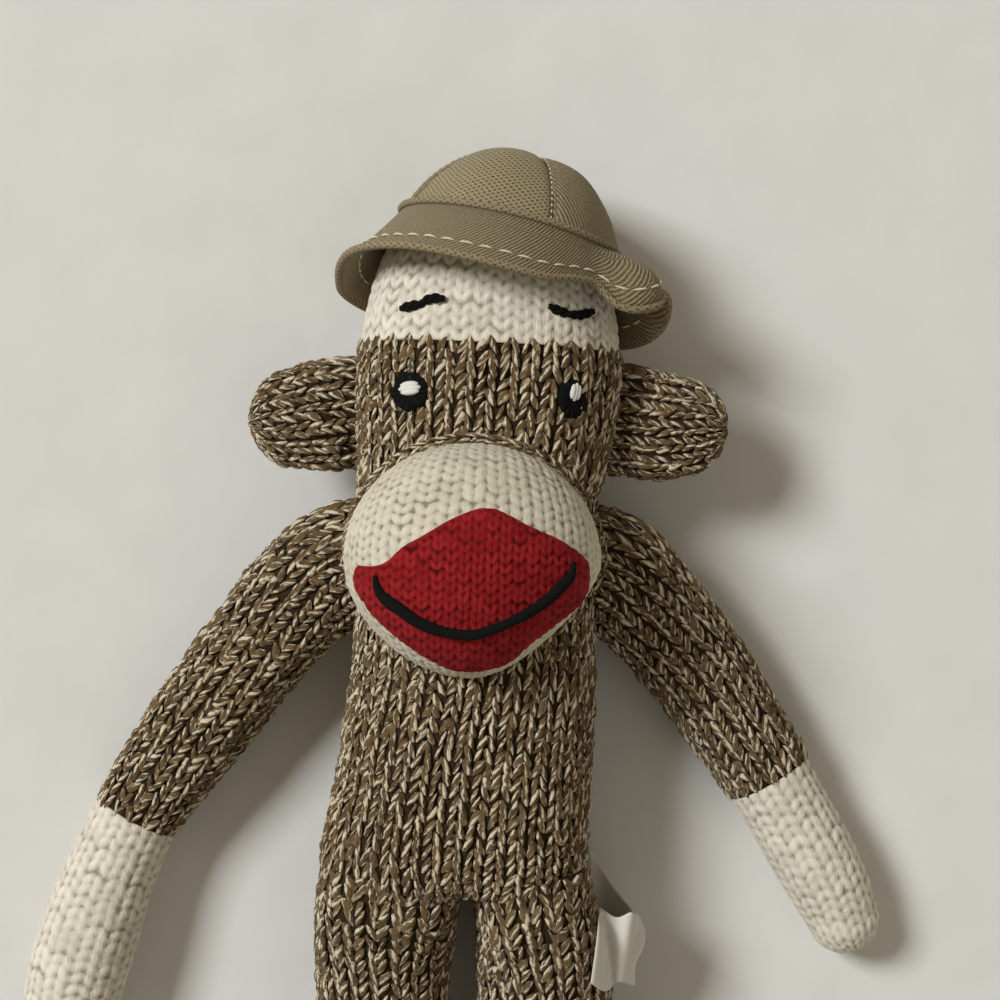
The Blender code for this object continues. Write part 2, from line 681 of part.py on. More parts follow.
def build_mouth(pivot, looks):
    outline = bpy.data.curves.new("mouth_outline", "CURVE")
    outline.dimensions = "2D"
    outline.fill_mode = "BOTH"
    outline.resolution_u = 3
    outline.extrude = MUZZLE_DEPTH / 2
    spline = outline.splines.new("BEZIER")
    spline.bezier_points.add(len(MOUTH_OUTLINE_SHARES) - 1)
    spline.use_cyclic_u = True
    for bezier, (share_x, share_y) in zip(spline.bezier_points, MOUTH_OUTLINE_SHARES):
        place = mouth_point(share_x, share_y)
        bezier.co = (place.x, place.y, 0)
        bezier.handle_left_type = "AUTO"
        bezier.handle_right_type = "AUTO"
    punch = as_cutter(curve_as_mesh("mouth_punch", outline, CUTTERS))
    punch.data.transform(Matrix.Translation((0, 0, MUZZLE_CENTRE.z + MUZZLE_DEPTH / 2)))
    mouth = muzzle_form("mouth_patch", SEAM_GAP + MOUTH_THICKNESS, PARTS)
    cut(mouth, punch, "INTERSECT")
    cut(mouth, as_cutter(muzzle_form("muzzle_clear", SEAM_GAP, CUTTERS)))
    smile_points = [mouth_point(*shares) + UP * SEAM_GAP for shares in SMILE_ROUTE_SHARES]
    smile = thread_along("smile_stitch", smile_points, SMILE_THREAD)
    cut(smile, as_cutter(muzzle_form("mouth_clear", SEAM_GAP * 2 + MOUTH_THICKNESS, CUTTERS)))
    for obj, look in ((mouth, "red"), (smile, "black")):
        paint(obj, looks[look])
        hang_on(obj, pivot)


def build_ear(side, looks, head_pivot):
    sign = SIDE_SIGNS[side]
    seam = Vector((EAR_X * sign, NECK_UP + EAR_ABOVE_NECK[side], EAR_HEIGHT))
    pivot = add_pivot("ear_joint_" + side, seam)
    hang_on(pivot, head_pivot)
    cover = knit_cover("ear_cover_" + side, ear_stations(side), LIMB_SIDES)
    stuffing = stuffing_of("ear_stuffing_" + side, LIMB_STUFFING_SIDES, ear_stations, side)
    trim = root_trim("ear_trim_" + side, seam, EAR_ROOT_THICKNESS / 2, HEADWARD, RIGHT * -sign)
    for obj, look in ((cover, "marl"), (stuffing, "fibre")):
        cut(obj, trim)
        paint(obj, looks[look])
        hang_on(obj, pivot)


def torso_cutters(floor):
    """The floor, the room for the legs' rounded tops, and the room for the tail's root."""
    reach = CUTTER_OVERRUN
    above_hips = box_cutter(
        "legs_folded_clear",
        (-reach, -reach * 2, HIP_HEIGHT + SEAM_GAP),
        (reach, -CROTCH_DOWN - SEAM_GAP / 4, reach * 2),
    )
    hip_centre = Vector((0, HIP_Y, HIP_HEIGHT))
    hip_round = cylinder_cutter("hip_clear", HIP_RADIUS + SEAM_GAP, reach * 2, hip_centre, RIGHT)
    tail_reach = TAIL_WIDTH / 2 + SEAM_GAP
    tail_radius = TAIL_ROOT_THICKNESS / 2 + SEAM_GAP
    tail_notch = box_cutter(
        "tail_clear",
        (-TAIL_SIDE - tail_reach, TAIL_Y - reach, -reach),
        (-TAIL_SIDE + tail_reach, TAIL_Y + tail_radius, TAIL_HEIGHT + tail_radius),
    )
    return [tail_notch, floor, hip_round, above_hips]


def build_torso(looks, floor):
    cover = knit_cover("torso_cover", torso_stations(), BODY_SIDES)
    heel = knit_cover("seat_heel", torso_stations(), BODY_SIDES)
    stuffing = stuffing_of("torso_stuffing", BODY_STUFFING_SIDES, torso_stations)
    heel_centre = Vector((-TORSO_SWAY, SEAT_HEEL_LENGTH / 2 - SEAT_DOWN, 0))
    heel_height = TORSO_DEPTH * SEAT_HEEL_TOP_SHARE
    for obj, grow, operation in ((heel, 0.0, "INTERSECT"), (cover, SEAM_GAP, "DIFFERENCE")):
        patch_size = (SEAT_HEEL_WIDTH + grow * 2, SEAT_HEEL_LENGTH + grow * 2, heel_height + grow * 2)
        patch = as_cutter(
            add_ellipsoid(
                obj.name + "_patch", patch_size, heel_centre, Matrix.Identity(3), CUTTERS,
                SPHERE_SEGMENTS, HEEL_PATCH_RINGS
            )
        )
        cut(obj, patch, operation)
    cutters = torso_cutters(floor)
    for obj, look in ((cover, "marl"), (heel, "red"), (stuffing, "fibre")):
        for cutter in cutters:
            cut(obj, cutter)
        paint(obj, looks[look])


def build_limb(names, make_stations, side, seam, radius, axis, inward, split, looks, look_names):
    """A knitted tube in two colours round one stuffing, with its root rounded about its seam."""
    pivot = add_pivot(names[0].replace("cover", "joint"), seam)
    near = knit_cover(names[0], make_stations(*side), LIMB_SIDES)
    far = knit_cover(names[1], make_stations(*side), LIMB_SIDES)
    stuffing = stuffing_of(names[2], LIMB_STUFFING_SIDES, make_stations, *side)
    trim = root_trim(names[0] + "_trim", seam, radius, axis, inward)
    for obj in (near, stuffing):
        cut(obj, trim)
    split_by_plane(near, far, *split, "line")
    for obj, look in zip((near, far, stuffing), look_names):
        paint(obj, looks[look])
        hang_on(obj, pivot)
    return pivot


def build_arm(side, looks):
    sign = SIDE_SIGNS[side]
    seam = Vector((SHOULDER_X * sign, SHOULDER_Y, SHOULDER_HEIGHT))
    wrist = arm_stations(side)[2 + len(ARM_ROUTE_SHARES[side])]
    names = ("arm_cover_" + side, "hand_cover_" + side, "arm_stuffing_" + side)
    split = (wrist.translation, wrist.to_3x3().col[2], CUTTER_OVERRUN)
    radius = ARM_SEAM_THICKNESS / 2
    inward = RIGHT * -sign
    covers = ("marl", "cream", "fibre")
    build_limb(names, arm_stations, (side,), seam, radius, HEADWARD, inward, split, looks, covers)


def build_leg(side, looks):
    sign = SIDE_SIGNS[side]
    seam = Vector((LEG_SPACING / 2 * sign, HIP_Y, HIP_HEIGHT))
    ankle = Vector((seam.x, -CROTCH_DOWN - LEG_LENGTH + FOOT_LENGTH, HIP_RADIUS))
    names = ("leg_cover_" + side, "foot_cover_" + side, "leg_stuffing_" + side)
    split = (ankle, -HEADWARD, CUTTER_OVERRUN)
    covers = ("marl", "cream", "fibre")
    return build_limb(
        names, leg_stations, (side,), seam, HIP_RADIUS, RIGHT, HEADWARD, split, looks, covers
    )


def build_tail(looks):
    seam = Vector((-TAIL_SIDE, TAIL_Y, TAIL_HEIGHT))
    end = tail_stations()[-1]
    forward = end.to_3x3().col[2].normalized()
    change = end.translation - forward * TAIL_TIP_LENGTH
    names = ("tail_cover", "tail_tip", "tail_stuffing")
    covers = ("marl", "cream", "fibre")
    radius = TAIL_ROOT_THICKNESS / 2
    split = (change, forward, TAIL_TIP_LENGTH)
    build_limb(names, tail_stations, (), seam, radius, RIGHT, HEADWARD, split, looks, covers)


def hat_frame():
    """From the hat's own axes, with its axis up and its back along Y, to its place on the head."""
    top = NECK_UP + HEAD_LENGTH
    place = Matrix.Translation((HAT_SIDE, top - HAT_BELOW_TOP, HAT_MIDDLE_HEIGHT))
    lay_down = Matrix.Rotation(-math.pi / 2 - HAT_TIP_BACK, 4, "X")
    return place @ Matrix.Rotation(-HAT_ROLL, 4, "Z") @ lay_down


def crown_shell():
    """The crown's line turned about the hat's axis, and given its thickness inwards."""
    bm = bmesh.new()
    line = []
    for radius, height in CROWN_PROFILE_SHARES:
        line.append(bm.verts.new((HAT_RADIUS * radius, 0, HAT_HEIGHT * height)))
    for start, end in zip(line, line[1:]):
        bm.edges.new((start, end))
    shell = add_object("crown_shell", bm, CUTTERS)
    turn = shell.modifiers.new("turn", "SCREW")
    turn.steps = CROWN_FACETS
    turn.render_steps = CROWN_FACETS
    turn.use_merge_vertices = True
    turn.merge_threshold = SEAM_GAP / 10
    wall = shell.modifiers.new("wall", "SOLIDIFY")
    wall.thickness = HAT_WALL
    wall.offset = -1
    bpy.context.view_layer.update()
    graph = bpy.context.evaluated_depsgraph_get()
    mesh = bpy.data.meshes.new_from_object(shell.evaluated_get(graph))
    bpy.data.objects.remove(shell, do_unlink=True)
    return mesh


def build_hat(looks, head_pivot):
    frame = hat_frame()
    pivot = add_pivot("hat_joint", frame.translation)
    hang_on(pivot, head_pivot)
    shell = crown_shell()
    reach = HAT_RADIUS + HAT_HEIGHT
    gap = SEAM_GAP / 2
    for index in range(PANEL_COUNT):
        turn = Matrix.Rotation(math.tau / PANEL_COUNT * index + HAT_SEAM_TURN, 4, "Z")
        bm = bmesh.new()
        bm.from_mesh(shell)
        panel = add_object(f"hat_panel_{index + 1}", bm, PARTS, frame)
        wedge = box_cutter(
            f"hat_wedge_{index + 1}", (gap, gap, -reach), (reach, reach, reach), frame @ turn
        )
        cut(panel, wedge, "INTERSECT")
        paint(panel, looks["twill"])
        hang_on(panel, pivot)
    brim = build_brim(frame)
    paint(brim, looks["twill"])
    hang_on(brim, pivot)


def build_brim(frame):
    """A ring of cloth that slopes down from the crown's edge, less at the sides than at the back."""
    bm = bmesh.new()
    bmesh.ops.create_circle(bm, segments=BRIM_FACETS, radius=HAT_RADIUS - HAT_WALL / 2)
    start = -SEAM_GAP - BRIM_THICKNESS / 2
    bmesh.ops.translate(bm, verts=bm.verts, vec=(0, 0, start))
    edges = list(bm.edges)
    for _ in range(BRIM_STEPS):
        grown = bmesh.ops.extrude_edge_only(bm, edges=edges)["geom"]
        edges = [item for item in grown if isinstance(item, bmesh.types.BMEdge)]
        for vert in (item for item in grown if isinstance(item, bmesh.types.BMVert)):
            out = Vector((vert.co.x, vert.co.y, 0)).normalized()
            slope = BRIM_SLOPE - BRIM_SLOPE_FRONT * out.y + BRIM_SLOPE_RIGHT * out.x
            slope += BRIM_SLOPE_TWICE * (out.y * out.y - out.x * out.x)
            step = BRIM_LENGTH / BRIM_STEPS
            vert.co += out * step * math.cos(slope) - UP * step * math.sin(slope)
    bmesh.ops.recalc_face_normals(bm, faces=bm.faces)
    brim = add_object("hat_brim", bm, PARTS, frame)
    wall = brim.modifiers.new("wall", "SOLIDIFY")
    wall.thickness = BRIM_THICKNESS
    wall.offset = 0
    reach = CUTTER_OVERRUN
    cut(brim, box_cutter("crown_clear", (-reach, -reach, -SEAM_GAP), (reach, reach, reach), frame))
    return brim


def build_label(looks, leg_pivot):
    """A ribbon folded into a loop, with both its ends in the leg's side seam."""
    seam_x = LEG_SPACING / 2 + LEG_WIDTH / 2 - LEG_WIDTH * LABEL_INSET_SHARE
    middle_y = -CROTCH_DOWN - LABEL_BELOW_CROTCH - LABEL_WIDTH / 2
    seam = Vector((seam_x, middle_y, LABEL_HEIGHT))
    pivot = add_pivot("label_joint", seam)
    hang_on(pivot, leg_pivot)
    place = Matrix.Translation(seam) @ Matrix.Rotation(LABEL_TURN, 4, "Z")
    bm = bmesh.new()
    ends = []
    for y in (-LABEL_WIDTH / 2, LABEL_WIDTH / 2):
        along, height = LABEL_OUTLINE_SHARES[0]
        ends.append(bm.verts.new((LABEL_LOOP * along, y, LABEL_LOOP_HEIGHT * height)))
    edge = bm.edges.new(ends)
    for index, (along, height) in enumerate(LABEL_OUTLINE_SHARES[1:]):
        before_along, before_height = LABEL_OUTLINE_SHARES[index]
        grown = bmesh.ops.extrude_edge_only(bm, edges=[edge])["geom"]
        verts = [item for item in grown if isinstance(item, bmesh.types.BMVert)]
        edge = next(item for item in grown if isinstance(item, bmesh.types.BMEdge))
        step = Vector((
            LABEL_LOOP * (along - before_along), 0, LABEL_LOOP_HEIGHT * (height - before_height)
        ))
        bmesh.ops.translate(bm, verts=verts, vec=step)
    label = add_object("care_label", bm, PARTS, place)
    wall = label.modifiers.new("wall", "SOLIDIFY")
    wall.thickness = LABEL_RIBBON
    wall.offset = 0
    leg_clear = as_cutter(
        soft_form("leg_clear", leg_stations("right", inset=-SEAM_GAP), LIMB_SIDES, CUTTERS)
    )
    cut(label, leg_clear)
    paint(label, looks["satin"])
    hang_on(label, pivot)


def main():
    looks = {
        "marl": make_material("brown_marl_knit", (0.16, 0.10, 0.05), 0.95, 0.3),
        "cream": make_material("cream_knit", (0.66, 0.60, 0.49), 0.95, 0.3),
        "red": make_material("red_knit", (0.42, 0.01, 0.015), 0.95, 0.2),
        "black": make_material("black_yarn", (0.006, 0.006, 0.008), 0.8),
        "white": make_material("white_yarn", (0.75, 0.74, 0.70), 0.8),
        "fibre": make_material("white_fibre", (0.80, 0.80, 0.78), 1.0),
        "twill": make_material("khaki_twill", (0.24, 0.19, 0.10), 0.9),
        "satin": make_material("white_satin", (0.70, 0.68, 0.62), 0.45),
    }
    reach = CUTTER_OVERRUN * 3
    floor = box_cutter("floor_clear", (-reach, -reach, -CUTTER_OVERRUN), (reach, reach, 0))
    head_clear = as_cutter(
        soft_form("head_clear", head_stations(inset=-SEAM_GAP), BODY_SIDES, CUTTERS)
    )
    head_form = as_cutter(soft_form("head_form", head_stations(), BODY_SIDES, CUTTERS))
    head_surface = evaluated_surface(head_form)
    head_pivot = add_pivot("neck_joint", Vector((0, NECK_UP, NECK_HEIGHT)))
    build_head(head_pivot, looks, floor)
    build_face(head_pivot, looks, head_surface, head_clear)
    build_muzzle(head_pivot, looks, head_clear)
    build_torso(looks, floor)
    for side in SIDE_SIGNS:
        build_ear(side, looks, head_pivot)
        build_arm(side, looks)
    build_leg("left", looks)
    right_leg_pivot = build_leg("right", looks)
    build_tail(looks)
    build_hat(looks, head_pivot)
    build_label(looks, right_leg_pivot)


clear_scene()
PARTS = new_collection("sock_monkey_doll")
CUTTERS = new_collection("cutters")
main()
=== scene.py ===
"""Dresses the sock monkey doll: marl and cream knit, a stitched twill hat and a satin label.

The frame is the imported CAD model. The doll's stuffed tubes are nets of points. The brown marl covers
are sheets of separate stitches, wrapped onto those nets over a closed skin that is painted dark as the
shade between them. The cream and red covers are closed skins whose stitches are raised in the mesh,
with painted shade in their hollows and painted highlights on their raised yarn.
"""

import math
from functools import partial

import bmesh
import bpy
import numpy as np
from mathutils import Matrix, Vector
from mathutils.bvhtree import BVHTree


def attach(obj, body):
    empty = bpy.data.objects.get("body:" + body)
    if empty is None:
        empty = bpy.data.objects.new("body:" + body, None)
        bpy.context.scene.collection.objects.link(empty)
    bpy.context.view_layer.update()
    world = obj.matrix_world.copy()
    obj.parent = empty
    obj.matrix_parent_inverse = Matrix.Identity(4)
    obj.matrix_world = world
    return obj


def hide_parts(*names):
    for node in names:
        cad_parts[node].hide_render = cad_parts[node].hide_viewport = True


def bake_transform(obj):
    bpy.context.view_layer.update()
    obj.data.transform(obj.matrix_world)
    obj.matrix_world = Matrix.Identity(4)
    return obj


bl_info = {
    "name": "Sock monkey doll looks",
    "version": (1, 0, 0),
    "blender": (4, 5, 0),
    "location": "3D View > Sidebar > Sock Monkey",
    "description": "Knits, stuffs and dresses the sock monkey doll's CAD frame",
    "category": "Add Mesh",
}

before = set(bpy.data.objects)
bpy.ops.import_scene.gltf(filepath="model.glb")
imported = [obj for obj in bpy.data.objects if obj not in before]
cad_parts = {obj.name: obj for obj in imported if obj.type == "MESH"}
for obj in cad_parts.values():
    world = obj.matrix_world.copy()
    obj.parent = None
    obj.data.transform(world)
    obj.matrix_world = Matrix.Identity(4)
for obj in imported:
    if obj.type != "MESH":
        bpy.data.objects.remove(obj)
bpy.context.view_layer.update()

MM = 0.001
UP = (0, 0, 1)
SIDES = {"left": -1, "right": 1}

# The maps and the layer that the materials read.
BAKE_MAP = "OFBake"
YARN_MAP = "Yarn"
WEAVE_MAP = "Weave"
HOLLOW = "Hollow"

# The net of points of a stuffed tube: its rows and columns, the steps of its rounded ends, how low
# its underside lies and how softly it flattens there.
NET_ROWS = 90
NET_COLUMNS = 96
DOME_STEPS = 14
TUBE_LOWEST = 0.3 * MM
TUBE_FLATTENING = 0.5 * MM
POINT_SIZE = MM / 10

# The cloth simulation of the stuffing works on every third point, ten times as large.
PRESS_STEP = 3
PRESS_SCALE = 10.0
PRESS_FRAMES = 20
PRESS_QUALITY = 5
PRESSURE = 3.0
PRESS_CAP = 0.9 * MM
PRESS_HELD_BELOW = 0.8 * MM

# The skins: every second point of a net, a little under the stitches. Soft knit has its own grid.
SKIN_STEP = 2
SKIN_INSET = 0.1 * MM
SKIN_JOIN = 0.02 * MM
SOFT_LEG_COLUMNS = 5
SOFT_COURSE_ROWS = 6
SOFT_JOIN = 0.01 * MM
KNIT_LOWEST = 0.05 * MM

# Rows of the tubes: middle across, up the doll, half width, low side, high side, squareness.
BODY_ROWS = (
    (-2.4, -37.6, 26.2, 0.8, 37.4, 2.9), (-2.5, -33.5, 26.3, 0.3, 38.6, 2.7),
    (-2.3, -28.4, 25.9, 0.3, 39.6, 2.5), (-1.5, -19.0, 25.2, 0.3, 39.9, 2.3),
    (-1.0, -8.0, 24.9, 0.3, 39.4, 2.3), (-0.3, 4.0, 24.2, 0.3, 39.5, 2.3),
    (-0.6, 16.0, 23.7, 0.3, 40.2, 2.3), (-0.8, 28.0, 23.5, 0.3, 40.8, 2.3),
    (-1.2, 40.0, 23.6, 0.3, 41.2, 2.3), (-0.5, 50.0, 25.0, 0.3, 41.6, 2.3),
    (0.0, 59.0, 25.9, 0.3, 42.0, 2.3), (0.2, 66.0, 26.0, 0.3, 42.2, 2.3),
    (0.2, 70.5, 25.6, 0.3, 42.4, 2.3), (0.4, 80.0, 24.0, 1.2, 42.0, 2.2),
    (1.0, 89.0, 21.2, 3.4, 39.6, 2.1), (2.0, 96.0, 17.0, 7.0, 35.5, 2.0),
)
LEG_ROWS = {
    "left": (
        (-15.0, -34.0, 12.9, 2.5, 36.6, 3.4), (-15.3, -40.5, 13.2, 3.6, 37.0, 3.2),
        (-15.8, -46.5, 13.0, 5.5, 35.6, 2.8), (-15.9, -54.0, 12.4, 7.2, 32.8, 2.4),
        (-15.6, -62.0, 12.0, 7.6, 31.4, 2.2), (-16.0, -86.0, 11.8, 4.6, 28.4, 2.1),
        (-17.8, -112.0, 11.6, 1.0, 25.2, 2.1), (-19.0, -130.0, 11.7, 0.4, 24.6, 2.1),
        (-19.7, -142.6, 11.2, 0.4, 23.4, 2.0),
    ),
    "right": (
        (12.6, -34.0, 10.8, 2.5, 36.6, 3.4), (13.9, -40.5, 10.5, 3.6, 37.0, 3.2),
        (15.3, -46.5, 11.4, 5.5, 35.6, 2.8), (16.4, -54.0, 12.3, 7.2, 32.8, 2.4),
        (17.2, -62.0, 12.5, 7.6, 31.4, 2.2), (17.4, -86.0, 12.1, 4.6, 28.4, 2.1),
        (18.2, -112.0, 11.6, 1.0, 25.2, 2.1), (19.0, -130.0, 11.7, 0.4, 24.6, 2.1),
        (19.7, -142.6, 11.2, 0.4, 23.4, 2.0),
    ),
}
ARM_ROWS = {
    "left": (
        (-20.0, 27.5, 12.2, 14.0, 26.5, 2.0), (-27.5, 25.5, 12.0, 12.0, 27.0, 2.0),
        (-34.5, 20.2, 11.3, 7.0, 25.8, 2.1), (-43.5, 9.6, 10.3, 2.4, 22.4, 2.1),
        (-52.6, -3.2, 10.0, 0.6, 20.4, 2.1), (-60.8, -15.6, 9.2, 0.5, 19.0, 2.1),
        (-67.6, -26.6, 8.4, 0.5, 17.6, 2.1), (-72.4, -38.0, 8.7, 0.5, 17.6, 2.1),
        (-76.2, -50.0, 9.6, 0.5, 18.6, 2.1), (-79.2, -62.0, 9.5, 0.5, 18.4, 2.1),
        (-80.8, -69.4, 8.9, 0.5, 17.6, 2.0),
    ),
    "right": (
        (20.0, 28.0, 12.0, 14.0, 26.5, 2.0), (26.5, 26.0, 11.8, 12.0, 27.0, 2.0),
        (34.0, 20.0, 10.6, 7.0, 25.6, 2.1), (43.5, 9.8, 9.9, 2.4, 22.0, 2.1),
        (52.0, -1.4, 9.4, 0.6, 19.8, 2.1), (59.6, -12.0, 8.6, 0.5, 18.0, 2.1),
        (65.0, -20.5, 8.2, 0.5, 17.2, 2.1), (71.2, -30.5, 8.2, 0.5, 17.2, 2.1),
        (76.4, -39.6, 7.4, 0.5, 15.6, 2.0), (78.0, -43.0, 6.9, 0.5, 14.6, 2.0),
    ),
}
EAR_ROWS = {
    "left": (
        (-23.0, 56.6, 10.6, 17.0, 24.0, 2.2), (-28.0, 56.2, 10.6, 16.8, 25.0, 2.2),
        (-34.0, 55.2, 10.2, 16.4, 26.2, 2.2), (-38.6, 54.6, 9.2, 16.8, 26.0, 2.1),
    ),
    "right": (
        (23.0, 57.4, 10.6, 17.0, 24.0, 2.2), (28.0, 57.2, 10.6, 16.8, 25.0, 2.2),
        (34.0, 56.4, 10.4, 16.4, 26.2, 2.2), (39.6, 56.4, 9.2, 16.8, 26.0, 2.1),
    ),
}
TAIL_ROWS = (
    (-9.5, -44.0, 4.0, 0.6, 6.0, 2.0), (-10.2, -52.0, 4.1, 0.5, 6.2, 2.0),
    (-16.0, -63.0, 4.2, 0.5, 6.4, 2.0), (-27.5, -74.5, 4.4, 0.5, 7.6, 2.0),
    (-43.0, -87.0, 4.5, 0.5, 8.8, 2.0), (-51.5, -103.0, 4.5, 0.5, 9.0, 2.0),
    (-50.0, -117.0, 4.4, 0.5, 8.9, 2.0), (-46.5, -127.0, 4.1, 0.5, 8.4, 2.0),
)


def length(name, description, default):
    """A length that can be changed in the panel."""
    return bpy.props.FloatProperty(name=name, description=description, default=default, unit="LENGTH")


def colour(name, description, default):
    """A colour that can be changed in the panel."""
    return bpy.props.FloatVectorProperty(
        name=name, description=description, default=default, size=3, min=0.0, max=1.0, subtype="COLOR"
    )


class DollKnit(bpy.types.PropertyGroup):
    """The stitches of the knitted covers."""

    wale: length("Wale pitch", "Width of one column of stitches", 3.8 * MM)
    course: length("Course pitch", "Height of one row of stitches", 2.45 * MM)
    yarn: length("Yarn width", "Width of the yarn in a stitch", 1.42 * MM)
    relief: length("Relief", "How far a stitch stands up", 0.85 * MM)
    unevenness: bpy.props.FloatProperty(
        name="Unevenness", description="How much the stitches differ", default=0.16, min=0.0, max=1.0
    )


class DollColours(bpy.types.PropertyGroup):
    """The colours of the yarns and cloths."""

    marl_light: colour("Marl light", "Pale ply of the marl yarn", (0.68, 0.595, 0.43))
    marl_brown: colour("Marl brown", "Brown ply of the marl yarn", (0.158, 0.098, 0.042))
    # Marl dark, darkened further, also paints the lining between the stitches as shade.
    marl_dark: colour("Marl dark", "Darkest fibres of the marl yarn", (0.048, 0.027, 0.010))
    cream: colour("Cream", "Cream yarn", (0.715, 0.665, 0.555))
    # Cream shade is painted shade: the soft knit lays it into its hollows.
    cream_painted_shade: colour("Cream shade", "Cream yarn where it is packed", (0.56, 0.51, 0.40))
    red: colour("Red", "Red yarn of the mouth", (0.225, 0.0045, 0.0065))
    # Red shade is the heel yarn's darker fibres, and painted shade in the mouth knit's hollows.
    red_fibres_and_painted_shade: colour("Red shade", "Red yarn where it is packed", (0.135, 0.003, 0.004))
    black: colour("Black", "Black yarn", (0.0045, 0.004, 0.005))
    white: colour("White", "White yarn of the glints", (0.72, 0.71, 0.68))
    twill: colour("Twill", "Khaki cloth of the hat", (0.345, 0.28, 0.163))
    # Twill shade is painted shade between the twill's ribs and dots.
    twill_shade: colour("Twill shade", "Khaki cloth between its ribs", (0.125, 0.094, 0.048))
    thread: colour("Thread", "Topstitching thread", (0.85, 0.78, 0.55))
    satin: colour("Satin", "Ribbon of the care label", (0.80, 0.78, 0.70))
    floor: colour("Floor", "Studio floor", (0.745, 0.74, 0.72))


class DollForms(bpy.types.PropertyGroup):
    """The hat's and the label's sizes."""

    hat_radius: length("Hat radius", "Radius of the crown's base", 22.1 * MM)
    hat_height: length("Hat height", "Height of the crown", 16.6 * MM)
    brim_length: length("Brim length", "From the crown to the brim's edge", 16.0 * MM)
    cloth: length("Cloth thickness", "Thickness of the twill", 0.9 * MM)
    topstitch: length("Topstitch pitch", "Length of one topstitch", 3.8 * MM)
    ribbon: length("Ribbon thickness", "Thickness of the label", 0.25 * MM)


def doll_colours():
    return bpy.context.scene.doll_colours


def shaded(colour_value, share):
    """A colour made darker or lighter."""
    return [value * share for value in colour_value]


# Meshes, and hanging them on their bodies


def new_object(name, mesh):
    obj = bpy.data.objects.new(name, mesh)
    bpy.context.scene.collection.objects.link(obj)
    return obj


def mesh_object(name, bm, material=None):
    """A finished object at the origin from a bmesh shaped in its place, none of it under the floor."""
    for vert in bm.verts:
        vert.co.z = max(vert.co.z, 0.0)
    mesh = bpy.data.meshes.new(name)
    bm.to_mesh(mesh)
    bm.free()
    mesh.polygons.foreach_set("use_smooth", [True] * len(mesh.polygons))
    obj = new_object(name, mesh)
    if material:
        mesh.materials.append(material)
    return obj


def evaluated_mesh(obj):
    bpy.context.view_layer.update()
    graph = bpy.context.evaluated_depsgraph_get()
    return bpy.data.meshes.new_from_object(obj.evaluated_get(graph))


def vertex_places(mesh):
    places = np.empty(len(mesh.vertices) * 3)
    mesh.vertices.foreach_get("co", places)
    return places.reshape(-1, 3)


def grid_points(bm, rows, columns, **settings):
    """A flat grid, as its vertices with the row and the column of each."""
    bmesh.ops.create_grid(bm, x_segments=columns - 1, y_segments=rows - 1, size=0.5, **settings)
    return [
        (vert, round((vert.co.y + 0.5) * (rows - 1)), round((vert.co.x + 0.5) * (columns - 1)))
        for vert in bm.verts
    ]


def sew_up(bm, gap, fill):
    """Joins points that meet, fills what stays open if asked, and turns the faces outwards."""
    bmesh.ops.remove_doubles(bm, verts=bm.verts, dist=gap)
    if fill:
        bmesh.ops.holes_fill(bm, edges=bm.edges)
    bmesh.ops.recalc_face_normals(bm, faces=bm.faces)


def declare(obj, slot, carrier, *nodes):
    """Hides a finished piece's CAD nodes, and hangs it on the body that carries it, or for a blend bakes its
    place into its mesh. The slot is not used.
    """
    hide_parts(*nodes)
    if isinstance(carrier, tuple):
        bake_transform(obj)
    else:
        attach(obj, carrier)


# Soft forms as nets of points


def walked_along(points):
    """How far each point lies along the line through all of them."""
    return np.concatenate([[0], np.cumsum(np.linalg.norm(np.diff(points, axis=0), axis=1))])


def unit(vectors):
    return vectors / np.maximum(np.linalg.norm(vectors, axis=-1, keepdims=True), 1e-12)


def eased_between(rows, knots, at):
    """Rows at some knots, on a smooth line through the rows given at all knots."""
    slopes = np.gradient(rows, knots, axis=0)
    index = np.clip(np.searchsorted(knots, at, "right") - 1, 0, len(knots) - 2)
    span = np.asarray(knots[index + 1] - knots[index])[..., None]
    t = np.asarray(at - knots[index])[..., None] / span
    ease = t * t * (3 - 2 * t)
    start = rows[index] * (1 - ease) + span * slopes[index] * t * (1 - t) ** 2
    return start + rows[index + 1] * ease - span * slopes[index + 1] * t * t * (1 - t)


def smooth_through(rows, count):
    """Evenly spaced rows on a smooth line through the given ones, whose first three are a place."""
    rows = np.array(rows, float)
    knots = walked_along(rows[:, :3])
    return eased_between(rows, knots, np.linspace(0, knots[-1], count))


def spread_evenly(net, count, axis):
    """The net with its points evenly spaced along one axis, by the mean distance between them."""
    gaps = np.linalg.norm(np.diff(net, axis=axis), axis=2)
    if axis == 0:
        walked = np.concatenate([[0], np.cumsum(gaps.mean(axis=1))])
        at = np.interp(np.linspace(0, walked[-1], count), walked, np.arange(len(walked)))
        low = np.minimum(at.astype(int), len(walked) - 2)
        share = (at - low)[:, None, None]
        return net[low] * (1 - share) + net[low + 1] * share
    spread = np.empty((net.shape[0], count, 3))
    for row, (points, steps) in enumerate(zip(net, gaps)):
        walked = np.concatenate([[0], np.cumsum(steps + 1e-9)])
        at = np.linspace(0, walked[-1], count)
        for k in range(3):
            spread[row, :, k] = np.interp(at, walked, points[:, k])
    return spread


